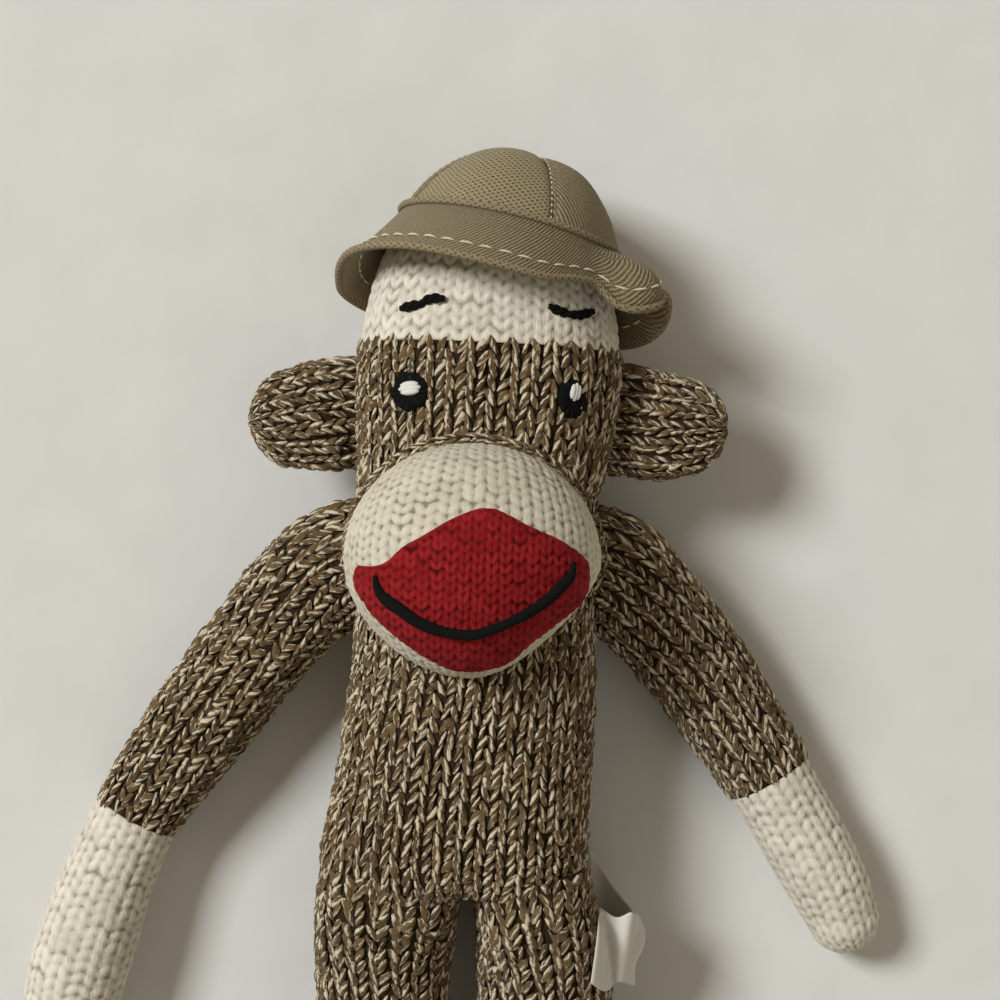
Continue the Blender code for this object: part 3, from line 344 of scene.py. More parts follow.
class Form:
    """A surface as rows of points. In a closed tube the first column is repeated as the last."""

    def __init__(self, net, closed=True):
        self.net = net
        self.closed = closed
        along = np.gradient(net, axis=0)
        around = np.gradient(net, axis=1)
        if closed:
            around[:, 0] = around[:, -1] = (net[:, 1] - net[:, -2]) / 2
        normals = np.cross(around, along)
        for row in (0, -1):
            if np.ptp(net[row], axis=0).max() < POINT_SIZE:
                normals[row] = along[row] * (1 if row else -1)
        self.normals = unit(normals)
        self.length = np.linalg.norm(np.diff(net, axis=0), axis=2).mean(axis=1).sum()
        self.girth = np.linalg.norm(np.diff(net, axis=1), axis=2).sum(axis=1).max()

    def at(self, around, along):
        """Points and normals at shares round and along the form."""
        rows, columns = self.net.shape[:2]
        column = (around % 1.0 if self.closed else np.clip(around, 0, 1)) * (columns - 1)
        row = np.clip(along, 0, 1) * (rows - 1)
        j = np.minimum(column.astype(int), columns - 2)
        i = np.minimum(row.astype(int), rows - 2)
        a = (column - j)[:, None]
        b = (row - i)[:, None]
        picked = []
        for values in (self.net, self.normals):
            near = values[i, j] * (1 - a) + values[i, j + 1] * a
            far = values[i + 1, j] * (1 - a) + values[i + 1, j + 1] * a
            picked.append(near * (1 - b) + far * b)
        return picked

    def share_at(self, axis, value):
        """The share along the form at which its mean place passes a value on one axis."""
        middles = self.net[:, :, axis].mean(axis=1)
        shares = np.linspace(0, 1, len(middles))
        order = np.argsort(middles)
        return float(np.interp(value, middles[order], shares[order]))


def tube_form(rows, start_dome=0.0, end_dome=0.0, dent=None):
    """A tube through rows of sections, in millimetres, with round ends where a dome is asked for."""
    sections = [
        (x, y, (low + high) / 2, half, (high - low) / 2, square)
        for x, y, half, low, high, square in rows
    ]
    line = smooth_through(sections, NET_ROWS)
    centre = line[:, :3] * MM
    half = line[:, 3] * MM
    rise = line[:, 4] * MM
    square = line[:, 5]
    forward = unit(np.gradient(centre[:, :2], axis=0))
    turns = np.linspace(0, math.pi / 2, DOME_STEPS)[1:]
    for dome, end, ahead in ((start_dome, 0, -1), (end_dome, -1, 1)):
        if not dome:
            continue
        more = np.repeat(centre[end][None], len(turns), axis=0)
        more[:, :2] += forward[end] * ahead * (np.sin(turns) * (half[end] * dome))[:, None]
        shrink = np.cos(turns)
        parts = (
            (centre, more),
            (half, half[end] * shrink),
            (rise, rise[end] * shrink),
            (square, np.repeat(square[end], len(turns))),
            (forward, np.repeat(forward[end][None], len(turns), axis=0)),
        )
        centre, half, rise, square, forward = (
            np.concatenate([old, new] if end else [new[::-1], old]) for old, new in parts
        )
    theta = np.linspace(-math.pi / 2, math.pi * 1.5, NET_COLUMNS * 2 + 1)
    power = 2 / square[:, None]
    across = np.sign(np.cos(theta)) * np.abs(np.cos(theta)) ** power
    upward = np.sign(np.sin(theta)) * np.abs(np.sin(theta)) ** power
    side = np.stack([-forward[:, 1], forward[:, 0], np.zeros(len(forward))], axis=1)
    net = centre[:, None] + side[:, None] * (half[:, None] * across)[:, :, None]
    height = net[:, :, 2] + rise[:, None] * upward
    lifted = np.sqrt((height - TUBE_LOWEST) ** 2 + TUBE_FLATTENING * TUBE_FLATTENING)
    net[:, :, 2] = (height + TUBE_LOWEST + lifted) / 2
    net = spread_evenly(net, NET_COLUMNS + 1, 1)
    if dent:
        dent(net)
    return Form(settle_stuffing(spread_evenly(net, NET_ROWS, 0)))


def settle_stuffing(net):
    """Lets the stuffing swell a tube, as Blender's cloth under pressure, up to a largest shift."""
    rows, columns = net.shape[:2]
    picked_rows = np.unique(np.append(np.arange(0, rows, PRESS_STEP), rows - 1))
    picked_columns = np.arange(0, columns, PRESS_STEP)
    coarse = net[np.ix_(picked_rows, picked_columns)]
    last_row, last_column = len(picked_rows) - 1, len(picked_columns) - 1
    bm = bmesh.new()
    row_layer, column_layer = (bm.verts.layers.int.new(name) for name in ("row", "column"))
    for vert, row, column in grid_points(bm, last_row + 1, last_column + 1):
        vert[row_layer] = row
        vert[column_layer] = column % last_column
        vert.co = coarse[row, column] * PRESS_SCALE
    sew_up(bm, SKIN_JOIN * PRESS_SCALE, fill=True)
    press = mesh_object("stuffing_press", bm)
    row, column = np.empty((2, len(press.data.vertices)), int)
    press.data.attributes["row"].data.foreach_get("value", row)
    press.data.attributes["column"].data.foreach_get("value", column)
    before = vertex_places(press.data)
    on_floor = before[:, 2] < PRESS_HELD_BELOW * PRESS_SCALE
    held = (row == 0) | (row == last_row) | on_floor
    press.vertex_groups.new(name="held").add(np.flatnonzero(held).tolist(), 1.0, "REPLACE")
    cloth = press.modifiers.new("press", "CLOTH")
    cloth.settings.quality = PRESS_QUALITY
    cloth.settings.use_pressure = True
    cloth.settings.uniform_pressure_force = PRESSURE
    cloth.settings.vertex_group_mass = "held"
    cloth.settings.effector_weights.gravity = 0.0
    cloth.point_cache.frame_start = 1
    cloth.point_cache.frame_end = PRESS_FRAMES
    for moment in range(1, PRESS_FRAMES + 1):
        bpy.context.scene.frame_set(moment)
    swollen = evaluated_mesh(press)
    shift = (vertex_places(swollen) - before) / PRESS_SCALE
    far = np.linalg.norm(shift, axis=1, keepdims=True)
    shift *= np.minimum(1.0, PRESS_CAP / np.maximum(far, 1e-9))
    grid = np.zeros((last_row + 1, last_column + 1, 3))
    grid[row, column] = shift
    for tight in np.flatnonzero(np.ptp(coarse, axis=1).max(axis=1) < POINT_SIZE):
        grid[tight] = grid[tight].sum(axis=0)
    grid[:, -1] = grid[:, 0]
    for count, picked in ((rows, picked_rows), (columns, picked_columns)):
        grid = np.stack([
            [np.interp(np.arange(count), picked, line) for line in grid[:, :, k].T] for k in range(3)
        ], axis=-1)
    bpy.context.scene.frame_set(1)
    bpy.data.objects.remove(press)
    net = net + grid
    net[:, :, 2] = np.maximum(net[:, :, 2], TUBE_LOWEST)
    return net


# Stitches of marl yarn: two leaning leaves each, in shares of a wale, a course and the relief.

LEAF_SIDES = 6
LEAF_RINGS = 5
LEAF_OUT = 0.252
LEAF_LEAN = 0.34
LEAF_BOW = 0.04
LEAF_LENGTH = 1.45
LEAF_TURN = 0.22
LEAF_UNDERSIDE = 0.3
LEAF_START = 0.10
LEAF_DIP = 0.40
# Where a leaf's upper side, its underside's two edges and its length lie in the yarn map.
LEAF_MAP_TOP = 0.46
LEAF_MAP_UNDER = (0.92, 0.04)
LEAF_MAP_LENGTH = 0.96
# How much of the unevenness each kind of luck takes: turn, swell, and shift across, along and up.
LUCK_SHARES = {"turn": 0.5, "swell": 0.5, "across": 0.28, "along": 0.5, "up": 0.25}
WANDER = 0.13


def stitch_cell(wale, course, yarn, relief):
    """One stitch, two leaning leaves of yarn, with its places in the yarn map."""
    bm = bmesh.new()
    uv = bm.loops.layers.uv.new(YARN_MAP)
    stand = Matrix.Rotation(-math.pi / 2, 4, "X")
    for side in (-1, 1):
        made = bmesh.ops.create_uvsphere(
            bm, u_segments=LEAF_SIDES, v_segments=LEAF_RINGS, radius=0.5, matrix=stand
        )["verts"]
        places = {}
        for vert in made:
            along = vert.co.y
            ring = math.sqrt(max(0.0, 0.25 - along * along)) * 2
            turn = math.atan2(vert.co.x, vert.co.z) if ring > 0.01 else 0.0
            places[vert] = (along, turn)
            hand = math.sin(turn)
            width = yarn / 2 * ring
            bow = LEAF_BOW * (1 - 4 * along * along)
            x = side * wale * (LEAF_OUT + LEAF_LEAN * along + bow) + hand * width
            y = along * course * LEAF_LENGTH + course * 0.5 - hand * side * width * LEAF_TURN
            height = math.cos(turn) * ring
            z = relief * (height if height > 0 else LEAF_UNDERSIDE * height)
            z += relief * (LEAF_START - LEAF_DIP * along)
            vert.co = (x + wale / 2, y, z)
        for face in {face for vert in made for face in vert.link_faces}:
            turns = [places[vert][1] for vert in face.verts if abs(places[vert][0]) < 0.49]
            under = max(turns) - min(turns) > math.pi
            for loop in face.loops:
                along, turn = places[loop.vert]
                around = LEAF_MAP_TOP + turn / math.tau
                if under:
                    around = LEAF_MAP_UNDER[0] + LEAF_MAP_UNDER[1] * math.copysign(1, turn)
                loop[uv].uv = ((side + 1) / 4 + around / 2, 0.5 + along * LEAF_MAP_LENGTH)
    bmesh.ops.recalc_face_normals(bm, faces=bm.faces)
    return bm


def knit_sheet(name, wales, courses, sizes):
    """A flat sheet of stitches, one cell repeated across and up."""
    cell = mesh_object(name, stitch_cell(*sizes))
    cell_size = len(cell.data.vertices)
    for axis, count in ((0, wales), (1, courses)):
        row = cell.modifiers.new("repeat", "ARRAY")
        row.use_relative_offset = False
        row.use_constant_offset = True
        row.count = count
        row.constant_offset_displace = [sizes[axis] if axis == k else 0 for k in range(3)]
        row.offset_u = 1.0 if axis == 0 else 0.0
        row.offset_v = 1.0 if axis == 1 else 0.0
    mesh = evaluated_mesh(cell)
    mesh.name = name
    bpy.data.objects.remove(cell)
    return mesh, cell_size


def wander(across, along):
    """How the wales drift sideways over the knit, at places in wales and courses."""
    return np.sin(along / 7.3 + across / 5.1) + np.sin(along / 3.9 - across / 9.7 + 1.7)


def uneven(flat, cell_size, wale, course, amount, seed):
    """Shifts, turns and swells each leaf of yarn a little, and lets the wales wander."""
    chance = np.random.default_rng(seed)
    leaves = flat.reshape(-1, cell_size // 2, 3)
    count = len(leaves)
    middle = leaves.mean(axis=1, keepdims=True)
    spread = {kind: amount * share for kind, share in LUCK_SHARES.items()}
    turn = np.clip(chance.normal(0, spread["turn"], count), -2 * amount, 2 * amount)[:, None]
    swell = 1 + np.clip(chance.normal(0, spread["swell"], (count, 3)), -amount, amount)
    local = (leaves - middle) * swell[:, None]
    x = local[:, :, 0] - local[:, :, 1] * turn
    y = local[:, :, 1] + local[:, :, 0] * turn
    local = np.stack([x, y, local[:, :, 2]], axis=2)
    middle[:, 0, 0] += chance.normal(0, spread["across"] * wale, count)
    middle[:, 0, 1] += chance.normal(0, spread["along"] * course, count)
    middle[:, 0, 2] += chance.normal(0, spread["up"] * wale, count)
    middle[:, 0, 0] += wander(middle[:, 0, 0] / wale, middle[:, 0, 1] / course) * wale * WANDER
    return (middle + local).reshape(-1, 3)


def knit_piece(name, form, material, seed, span=(0.0, 1.0), wales=None, sizes=None, keep=None):
    """A sheet of stitches wrapped onto a form, between two shares of its length.

    keep tells from the stitches' middles which of them stay.
    """
    knit = bpy.context.scene.doll_knit
    sizes = sizes or (knit.wale, knit.course, knit.yarn, knit.relief)
    wale, course = sizes[:2]
    wales = wales or max(1, round(form.girth / wale))
    courses = max(2, round(form.length * (span[1] - span[0]) / course))
    mesh, cell_size = knit_sheet(name, wales, courses, sizes)
    flat = uneven(vertex_places(mesh), cell_size, wale, course, knit.unevenness, seed)
    around = flat[:, 0] / (wales * wale)
    along = span[0] + (span[1] - span[0]) * flat[:, 1] / (courses * course)
    point, normal = form.at(around, along)
    wrapped = point + normal * flat[:, 2:3]
    middles = wrapped.reshape(-1, cell_size, 3).mean(axis=1)
    wrapped[:, 2] = np.maximum(wrapped[:, 2], KNIT_LOWEST)
    mesh.vertices.foreach_set("co", wrapped.ravel())
    yarn_map = mesh.uv_layers[YARN_MAP]
    places = np.empty(len(mesh.loops) * 2)
    yarn_map.data.foreach_get("uv", places)
    bake = mesh.uv_layers.new(name=BAKE_MAP)
    bake.data.foreach_set("uv", (places.reshape(-1, 2) / (wales, courses)).ravel())
    mesh.uv_layers.active = bake
    mesh.polygons.foreach_set("use_smooth", [True] * len(mesh.polygons))
    mesh.materials.append(material)
    mesh.update()
    obj = new_object(name, mesh)
    if keep:
        drop_stitches(obj, cell_size, ~keep(middles))
    return obj


def drop_stitches(obj, cell_size, dropped):
    """Takes whole stitches out of a knitted piece."""
    bm = bmesh.new()
    bm.from_mesh(obj.data)
    bm.verts.ensure_lookup_table()
    gone = np.repeat(dropped, cell_size)
    bmesh.ops.delete(bm, geom=[bm.verts[i] for i in np.flatnonzero(gone)], context="VERTS")
    bm.to_mesh(obj.data)
    bm.free()


def skin_piece(name, form, span):
    """The closed stuffed form under the stitches, painted dark as the shade that shows between them."""
    bm = bmesh.new()
    bm.loops.layers.uv.new(BAKE_MAP)
    bmesh.ops.create_grid(
        bm, x_segments=NET_COLUMNS // SKIN_STEP, y_segments=NET_ROWS // SKIN_STEP, size=0.5, calc_uvs=True
    )
    places = np.array([vert.co for vert in bm.verts])
    around = np.clip(places[:, 0] + 0.5, 0, 1 - 1e-7)
    point, normal = form.at(around, span[0] + (span[1] - span[0]) * (places[:, 1] + 0.5))
    for vert, place in zip(bm.verts, point - normal * SKIN_INSET):
        vert.co = place
    sew_up(bm, SKIN_JOIN, fill=True)
    return mesh_object(name, bm, painted_shade_lining())


# Soft knit: one closed skin with its hollows pressed in, in shares of a wale and a course.

SOFT_LEG_OUT = 0.25
SOFT_LEG_HALF_WIDTH = 0.26
SOFT_LEG_HALF_LENGTH = 0.72
SOFT_LEG_SLOPE = 0.18
SOFT_LEAN = 0.12
SOFT_WANDER = 0.07
# How much of the unevenness shifts, stretches, moves aside and thickens a leg of yarn.
SOFT_LUCK_SHARES = (0.5, 0.5, 0.15, 0.7)
SOFT_DEPTH = 0.5 * MM
SOFT_LIFT = 0.5 * MM


def leg_heights(across, along, wales, lean, seed):
    """How high soft knit stands at places in wales and courses: 0 in its hollows and 1 on its yarn."""
    amount = bpy.context.scene.doll_knit.unevenness
    chance = np.random.default_rng(seed)
    courses = int(np.ceil(along.max())) + 3
    luck = np.clip(chance.normal(0, amount, (4, courses, wales)), -2 * amount, 2 * amount)
    shift, stretch, aside, thick = (part * share for part, share in zip(luck, SOFT_LUCK_SHARES))
    across = across + SOFT_WANDER * wander(across, along)
    wale = np.floor(across)
    course = np.floor(along)
    best = np.zeros(across.shape)
    for side in (-1, 1):
        for step in (-1, 0, 1):
            for beside in (-1, 0, 1):
                pick = ((course + step).astype(int) % courses, (wale + beside).astype(int) % wales)
                up = (along - course - step - 0.5 - shift[pick]) / (SOFT_LEG_HALF_LENGTH + stretch[pick])
                middle = 0.5 + side * (SOFT_LEG_OUT + lean * up) + aside[pick]
                out = (across - wale - beside - middle) / SOFT_LEG_HALF_WIDTH
                leg = np.sqrt(np.maximum(0.0, 1 - out * out - up * up))
                best = np.maximum(best, leg * (1 - SOFT_LEG_SLOPE * up + thick[pick]))
    return np.clip(best, 0, 1.15)


def soft_skin(name, points, normals, heights, depth, lift, material, settle=None):
    """A skin over rows of points, raised by lift and pressed in by depth where the heights are low.

    settle moves the raised points a last time.
    """
    heights[:, -1] = heights[:, 0]
    for row in np.flatnonzero(np.ptp(points, axis=1).max(axis=1) < POINT_SIZE):
        heights[row] = 1.0
        normals[row] = unit(normals[row].mean(axis=0))
    places = points + normals * (lift + depth * (heights - 1))[:, :, None]
    if settle:
        places = settle(places.reshape(-1, 3)).reshape(places.shape)
    places[:, :, 2] = np.maximum(places[:, :, 2], KNIT_LOWEST)
    bm = bmesh.new()
    bm.loops.layers.uv.new(BAKE_MAP)
    hollow = bm.verts.layers.float.new(HOLLOW)
    # The hollow layer tells the soft knit material where to paint shade and where to paint a highlight.
    for vert, row, column in grid_points(bm, *heights.shape, calc_uvs=True):
        vert[hollow] = 1 - heights[row, column]
        vert.co = places[row, column]
    bmesh.ops.remove_doubles(bm, verts=bm.verts, dist=SOFT_JOIN)
    bmesh.ops.holes_fill(bm, edges=bm.edges)
    bmesh.ops.triangulate(bm, faces=[face for face in bm.faces if len(face.verts) > 4])
    bmesh.ops.recalc_face_normals(bm, faces=bm.faces)
    return mesh_object(name, bm, material)


def soft_tube(name, form, seed, span, wales, lean):
    """Cream knit round a tube, between two shares of its length."""
    courses = max(2, round(form.length * (span[1] - span[0]) / bpy.context.scene.doll_knit.course))
    around, up = np.meshgrid(
        np.linspace(0, 1, wales * SOFT_LEG_COLUMNS * 2 + 1), np.linspace(0, 1, courses * SOFT_COURSE_ROWS + 1)
    )
    point, normal = form.at(around.ravel(), (span[0] + (span[1] - span[0]) * up).ravel())
    shape = (*around.shape, 3)
    heights = leg_heights(around * wales, up * courses, wales, lean, seed)
    return soft_skin(
        name, point.reshape(shape), normal.reshape(shape), heights, SOFT_DEPTH, SOFT_LIFT, cream_knit()
    )


# Resting small pieces on others, and strands of yarn and thread

ABOVE_ALL = 200 * MM
STRAND_JOIN = 0.005 * MM


def rest_tree(*names):
    """A search tree of the named objects' faces."""
    points = []
    faces = []
    for name in names:
        mesh = bpy.data.objects[name].data
        start = len(points)
        points += [tuple(vert.co) for vert in mesh.vertices]
        faces += [[start + index for index in face.vertices] for face in mesh.polygons]
    return BVHTree.FromPolygons(points, faces)


def top_at(tree, x, y, missing=0.0):
    """The height of the tree's faces over a place on the floor."""
    hit = tree.ray_cast(Vector((x, y, ABOVE_ALL)), Vector((0, 0, -1)))[0]
    return hit.z if hit else missing


def raised_onto(tree, places, gap):
    """Points lower than the faces beneath them are lifted onto those faces."""
    raised = places.copy()
    for index, (x, y, z) in enumerate(places):
        raised[index, 2] = max(z, top_at(tree, x, y, -1.0) + gap)
    return raised


def ring_loft(bm, rings):
    """A closed body through rings of equally many points, whose end rings have shrunk to a point."""
    count = len(rings[0])
    first = bmesh.ops.create_circle(bm, segments=count, radius=1.0)["verts"]
    edges = list({edge for vert in first for edge in vert.link_edges})
    loop = sorted(first, key=lambda vert: math.atan2(vert.co.y, vert.co.x) % math.tau)
    order = {vert: index for index, vert in enumerate(loop)}
    for vert, place in zip(loop, rings[0]):
        vert.co = place
    for ring in rings[1:]:
        grown = bmesh.ops.extrude_edge_only(bm, edges=edges)["geom"]
        edges = [item for item in grown if isinstance(item, bmesh.types.BMEdge)]
        fresh = {}
        for vert in {vert for edge in edges for vert in edge.verts}:
            old = next(edge.other_vert(vert) for edge in vert.link_edges if edge.other_vert(vert) in order)
            fresh[vert] = order[old]
        for vert, index in fresh.items():
            vert.co = ring[index]
        order = fresh
    sew_up(bm, STRAND_JOIN, fill=False)


def strand_rings(route, radii, sides=8, flat=1.0, up=UP):
    """Rings round a route, closed to a point at both ends; flat squeezes them along the up direction."""
    route = np.array(route, float)
    ahead = unit(np.gradient(route, axis=0))
    across = unit(np.cross(ahead, np.array(up, float)))
    above = np.cross(across, ahead)
    turns = np.linspace(0, math.tau, sides, endpoint=False)
    rings = [
        place + radius * (np.cos(turns)[:, None] * side + flat * np.sin(turns)[:, None] * top)
        for place, radius, side, top in zip(route, radii, across, above)
    ]
    return [[route[0]] * sides] + [list(ring) for ring in rings] + [[route[-1]] * sides]


def rounded(count, radius, blunt=0.35):
    """Radii along a strand that swells from both ends."""
    share = np.linspace(0.02, 0.98, count)
    return radius * np.sin(math.pi * share) ** blunt


def twisted(bm, route, radii, pitch):
    """Two plies twisted round each other along a route."""
    route, radii, up = np.array(route, float), np.array(radii), np.array(UP, float)
    across = unit(np.cross(np.gradient(route, axis=0), up))
    for start in (0.0, math.pi):
        turn = walked_along(route) / pitch * math.tau + start
        offset = across * np.cos(turn)[:, None] + up * (0.6 * np.sin(turn)[:, None])
        ring_loft(bm, strand_rings(route + offset * (radii * 0.5)[:, None], radii * 0.68, 6, 0.85))


# Materials


def add_node(tree, kind, **settings):
    node = tree.nodes.new(kind)
    for name, value in settings.items():
        setattr(node, name, value)
    return node


def feed(tree, slot, value):
    """Links a socket into a slot, or sets the slot to a number or a colour."""
    if isinstance(value, bpy.types.NodeSocket):
        tree.links.new(value, slot)
    else:
        slot.default_value = value if isinstance(value, float) else (*value, 1.0)


def calculate(tree, operation, first, second=None):
    """A Math node on two sockets or numbers."""
    node = add_node(tree, "ShaderNodeMath", operation=operation)
    feed(tree, node.inputs[0], first)
    if second is not None:
        feed(tree, node.inputs[1], second)
    return node.outputs[0]


def sums(tree):
    """Short forms of the Math node in one tree: times, plus and less."""
    return (partial(calculate, tree, operation) for operation in ("MULTIPLY", "ADD", "SUBTRACT"))


def mix_colours(tree, share, first, second):
    node = add_node(tree, "ShaderNodeMix", data_type="RGBA")
    for slot, value in ((node.inputs[0], share), (node.inputs[6], first), (node.inputs[7], second)):
        feed(tree, slot, value)
    return node.outputs[2]


def ramp_between(tree, value, low, high):
    """0 below low, 1 above high, and smooth in between."""
    node = add_node(tree, "ShaderNodeMapRange", interpolation_type="SMOOTHSTEP")
    for label, put in (("Value", value), ("From Min", low), ("From Max", high)):
        feed(tree, node.inputs[label], put)
    return node.outputs["Result"]


def speckle(tree, places, scale, detail):
    """Noise at places, between 0 and 1."""
    node = add_node(tree, "ShaderNodeTexNoise")
    node.inputs["Scale"].default_value = scale
    node.inputs["Detail"].default_value = detail
    tree.links.new(places, node.inputs["Vector"])
    return node.outputs["Fac"]


def new_group(name, colours, numbers=()):
    """A node group with named inputs that puts out a Color and a Height, and its two end nodes."""
    group = bpy.data.node_groups.new(name, "ShaderNodeTree")
    for labels, kind, way in (
        (colours, "NodeSocketColor", "INPUT"), (numbers, "NodeSocketFloat", "INPUT"),
        (("Color",), "NodeSocketColor", "OUTPUT"), (("Height",), "NodeSocketFloat", "OUTPUT"),
    ):
        for label in labels:
            group.interface.new_socket(label, in_out=way, socket_type=kind)
    return group, add_node(group, "NodeGroupInput").outputs, add_node(group, "NodeGroupOutput").inputs


def yarn_group():
    """Two twisted plies along each stitch, with loose fibres, from the yarn map."""
    if "twisted_yarn" in bpy.data.node_groups:
        return bpy.data.node_groups["twisted_yarn"]
    group, given, shown = new_group("twisted_yarn", ("Dark", "Body", "Light"), ("Light share", "Softness"))
    times, plus, less = sums(group)
    where = add_node(group, "ShaderNodeUVMap", uv_map=YARN_MAP)
    parts = add_node(group, "ShaderNodeSeparateXYZ")
    group.links.new(where.outputs[0], parts.inputs[0])
    leaf = times(parts.outputs[0], 2.0)
    leaf_number = calculate(group, "FLOOR", leaf)
    course_number = calculate(group, "FLOOR", parts.outputs[1])
    across = calculate(group, "FRACT", leaf)
    along = calculate(group, "FRACT", parts.outputs[1])
    number = add_node(group, "ShaderNodeCombineXYZ")
    group.links.new(leaf_number, number.inputs[0])
    group.links.new(course_number, number.inputs[1])
    chance = add_node(group, "ShaderNodeTexWhiteNoise", noise_dimensions="2D")
    group.links.new(number.outputs[0], chance.inputs["Vector"])
    luck = add_node(group, "ShaderNodeSeparateColor")
    group.links.new(chance.outputs["Color"], luck.inputs[0])
    twist = plus(plus(times(along, 0.75), times(across, -2.5)), times(luck.outputs[0], 5.0))
    ply = calculate(group, "SINE", times(twist, math.tau))
    strand = add_node(group, "ShaderNodeCombineXYZ")
    stretched = (times(twist, 4.2), times(along, 3.4), times(chance.outputs["Value"], 60.0))
    for slot, value in zip(strand.inputs, stretched):
        group.links.new(value, slot)
    fibre = speckle(group, strand.outputs[0], 1.0, 3.0)
    pale = plus(times(ply, 0.46), times(less(fibre, 0.5), 2.7))
    pale = plus(pale, times(luck.outputs[1], 0.45))
    level = less(pale, less(1.0, given["Light share"]))
    ground_share = ramp_between(group, plus(fibre, times(luck.outputs[2], 0.25)), 0.30, 0.72)
    ground = mix_colours(group, ground_share, given["Dark"], given["Body"])
    light_share = ramp_between(group, level, times(given["Softness"], -1.0), given["Softness"])
    group.links.new(mix_colours(group, light_share, ground, given["Light"]), shown["Color"])
    group.links.new(plus(times(plus(ply, 1.0), 0.35), times(fibre, 0.6)), shown["Height"])
    return group


def soft_knit_group():
    """Combed fibres, with painted shade in the knit's hollows and a painted highlight on its raised yarn."""
    if "soft_knit" in bpy.data.node_groups:
        return bpy.data.node_groups["soft_knit"]
    group, given, shown = new_group("soft_knit", ("Hollow shade", "Body", "Light"))
    times, plus, less = sums(group)
    hollow = add_node(group, "ShaderNodeAttribute", attribute_name=HOLLOW)
    place = add_node(group, "ShaderNodeTexCoord")
    combed = add_node(group, "ShaderNodeMapping")
    combed.inputs["Scale"].default_value = (2600.0, 900.0, 1900.0)
    group.links.new(place.outputs["Object"], combed.inputs["Vector"])
    fibre = speckle(group, combed.outputs[0], 1.0, 4.0)
    loose = less(fibre, 0.5)
    level = plus(hollow.outputs["Fac"], times(loose, 0.7))
    # Raised yarn takes the Light colour, a painted highlight broken by the fibres.
    lit = ramp_between(group, less(times(loose, 1.6), level), -0.45, 0.15)
    top = mix_colours(group, lit, given["Body"], given["Light"])
    # The hollows turn to the dark input colour: painted shade.
    sunk = ramp_between(group, level, 0.35, 1.05)
    group.links.new(mix_colours(group, sunk, top, given["Hollow shade"]), shown["Color"])
    group.links.new(fibre, shown["Height"])
    return group


# How far the twill's ribs wobble, and the pitches of its dots across and along.
WEAVE_WOBBLE = 0.8 * MM
WEAVE_DOT_PITCH = (1.65 * MM, 1.25 * MM)


def weave_group():
    """Ribs and dots of woven twill, from places in metres, with painted shade between them."""
    if "twill_weave" in bpy.data.node_groups:
        return bpy.data.node_groups["twill_weave"]
    group, given, shown = new_group("twill_weave", ("Cloth", "Shade"), ("Rib pitch", "Slant", "Dots"))
    times, plus, less = sums(group)
    where = add_node(group, "ShaderNodeUVMap", uv_map=WEAVE_MAP).outputs[0]
    parts = add_node(group, "ShaderNodeSeparateXYZ")
    group.links.new(where, parts.inputs[0])
    across, along = parts.outputs[:2]
    drift = times(speckle(group, where, 260.0, 3.0), WEAVE_WOBBLE)

    def wave(value, pitch):
        return calculate(group, "SINE", times(calculate(group, "DIVIDE", value, pitch), math.tau))

    rib = wave(plus(plus(across, times(along, given["Slant"])), drift), given["Rib pitch"])
    dot = times(*(wave(plus(part, drift), pitch) for part, pitch in zip((across, along), WEAVE_DOT_PITCH)))
    mixed = add_node(group, "ShaderNodeMix", data_type="FLOAT")
    for slot, value in zip(mixed.inputs[:1] + mixed.inputs[2:4], (
        given["Dots"], times(plus(rib, 1.0), 0.5), less(1.0, ramp_between(group, dot, 0.15, 0.75)),
    )):
        group.links.new(value, slot)
    height = mixed.outputs[0]
    group.links.new(height, shown["Height"])
    # The cloth darkens to the Shade colour between the ribs and dots: painted shade, broken by noise.
    share = plus(times(height, 0.62), times(speckle(group, where, 1500.0, 2.0), 0.62))
    cloth = mix_colours(group, ramp_between(group, share, 0.25, 0.95), given["Shade"], given["Cloth"])
    group.links.new(cloth, shown["Color"])
    return group


YARN_BUMP = 0.12 * MM
SOFT_BUMP = 0.16 * MM
WEAVE_BUMP = 0.25 * MM
BLACK_YARN_SPECULAR = 0.08


def plain_material(name, roughness, sheen):
    material = bpy.data.materials.new(name)
    material.use_nodes = True
    shader = material.node_tree.nodes["Principled BSDF"]
    for label, value in (
        ("Roughness", roughness), ("Specular IOR Level", 0.25),
        ("Sheen Weight", sheen), ("Sheen Roughness", 0.5),
    ):
        shader.inputs[label].default_value = value
    return material, material.node_tree, shader


def add_bump(tree, shader, height, distance):
    bump = add_node(tree, "ShaderNodeBump")
    bump.inputs["Strength"].default_value = 1.0
    bump.inputs["Distance"].default_value = distance
    tree.links.new(height, bump.inputs["Height"])
    tree.links.new(bump.outputs[0], shader.inputs["Normal"])


def group_material(name, group, values, bump, roughness, sheen):
    """A material whose colour and bump come from a node group with the given inputs."""
    if name in bpy.data.materials:
        return bpy.data.materials[name]
    material, tree, shader = plain_material(name, roughness, sheen)
    node = add_node(tree, "ShaderNodeGroup", node_tree=group)
    for label, value in values.items():
        feed(tree, node.inputs[label], value)
    tree.links.new(node.outputs["Color"], shader.inputs["Base Color"])
    add_bump(tree, shader, node.outputs["Height"], bump)
    return material


def felted_material(name, first, second, scale, bump, roughness=0.95, sheen=0.0):
    """Packed fibres in two shades, for linings, plain threads, ribbon and the floor."""
    if name in bpy.data.materials:
        return bpy.data.materials[name]
    material, tree, shader = plain_material(name, roughness, sheen)
    place = add_node(tree, "ShaderNodeTexCoord")
    fibres = speckle(tree, place.outputs["Object"], scale, 5.0)
    share = ramp_between(tree, fibres, 0.3, 0.7)
    tree.links.new(mix_colours(tree, share, first, second), shader.inputs["Base Color"])
    add_bump(tree, shader, fibres, bump)
    return material


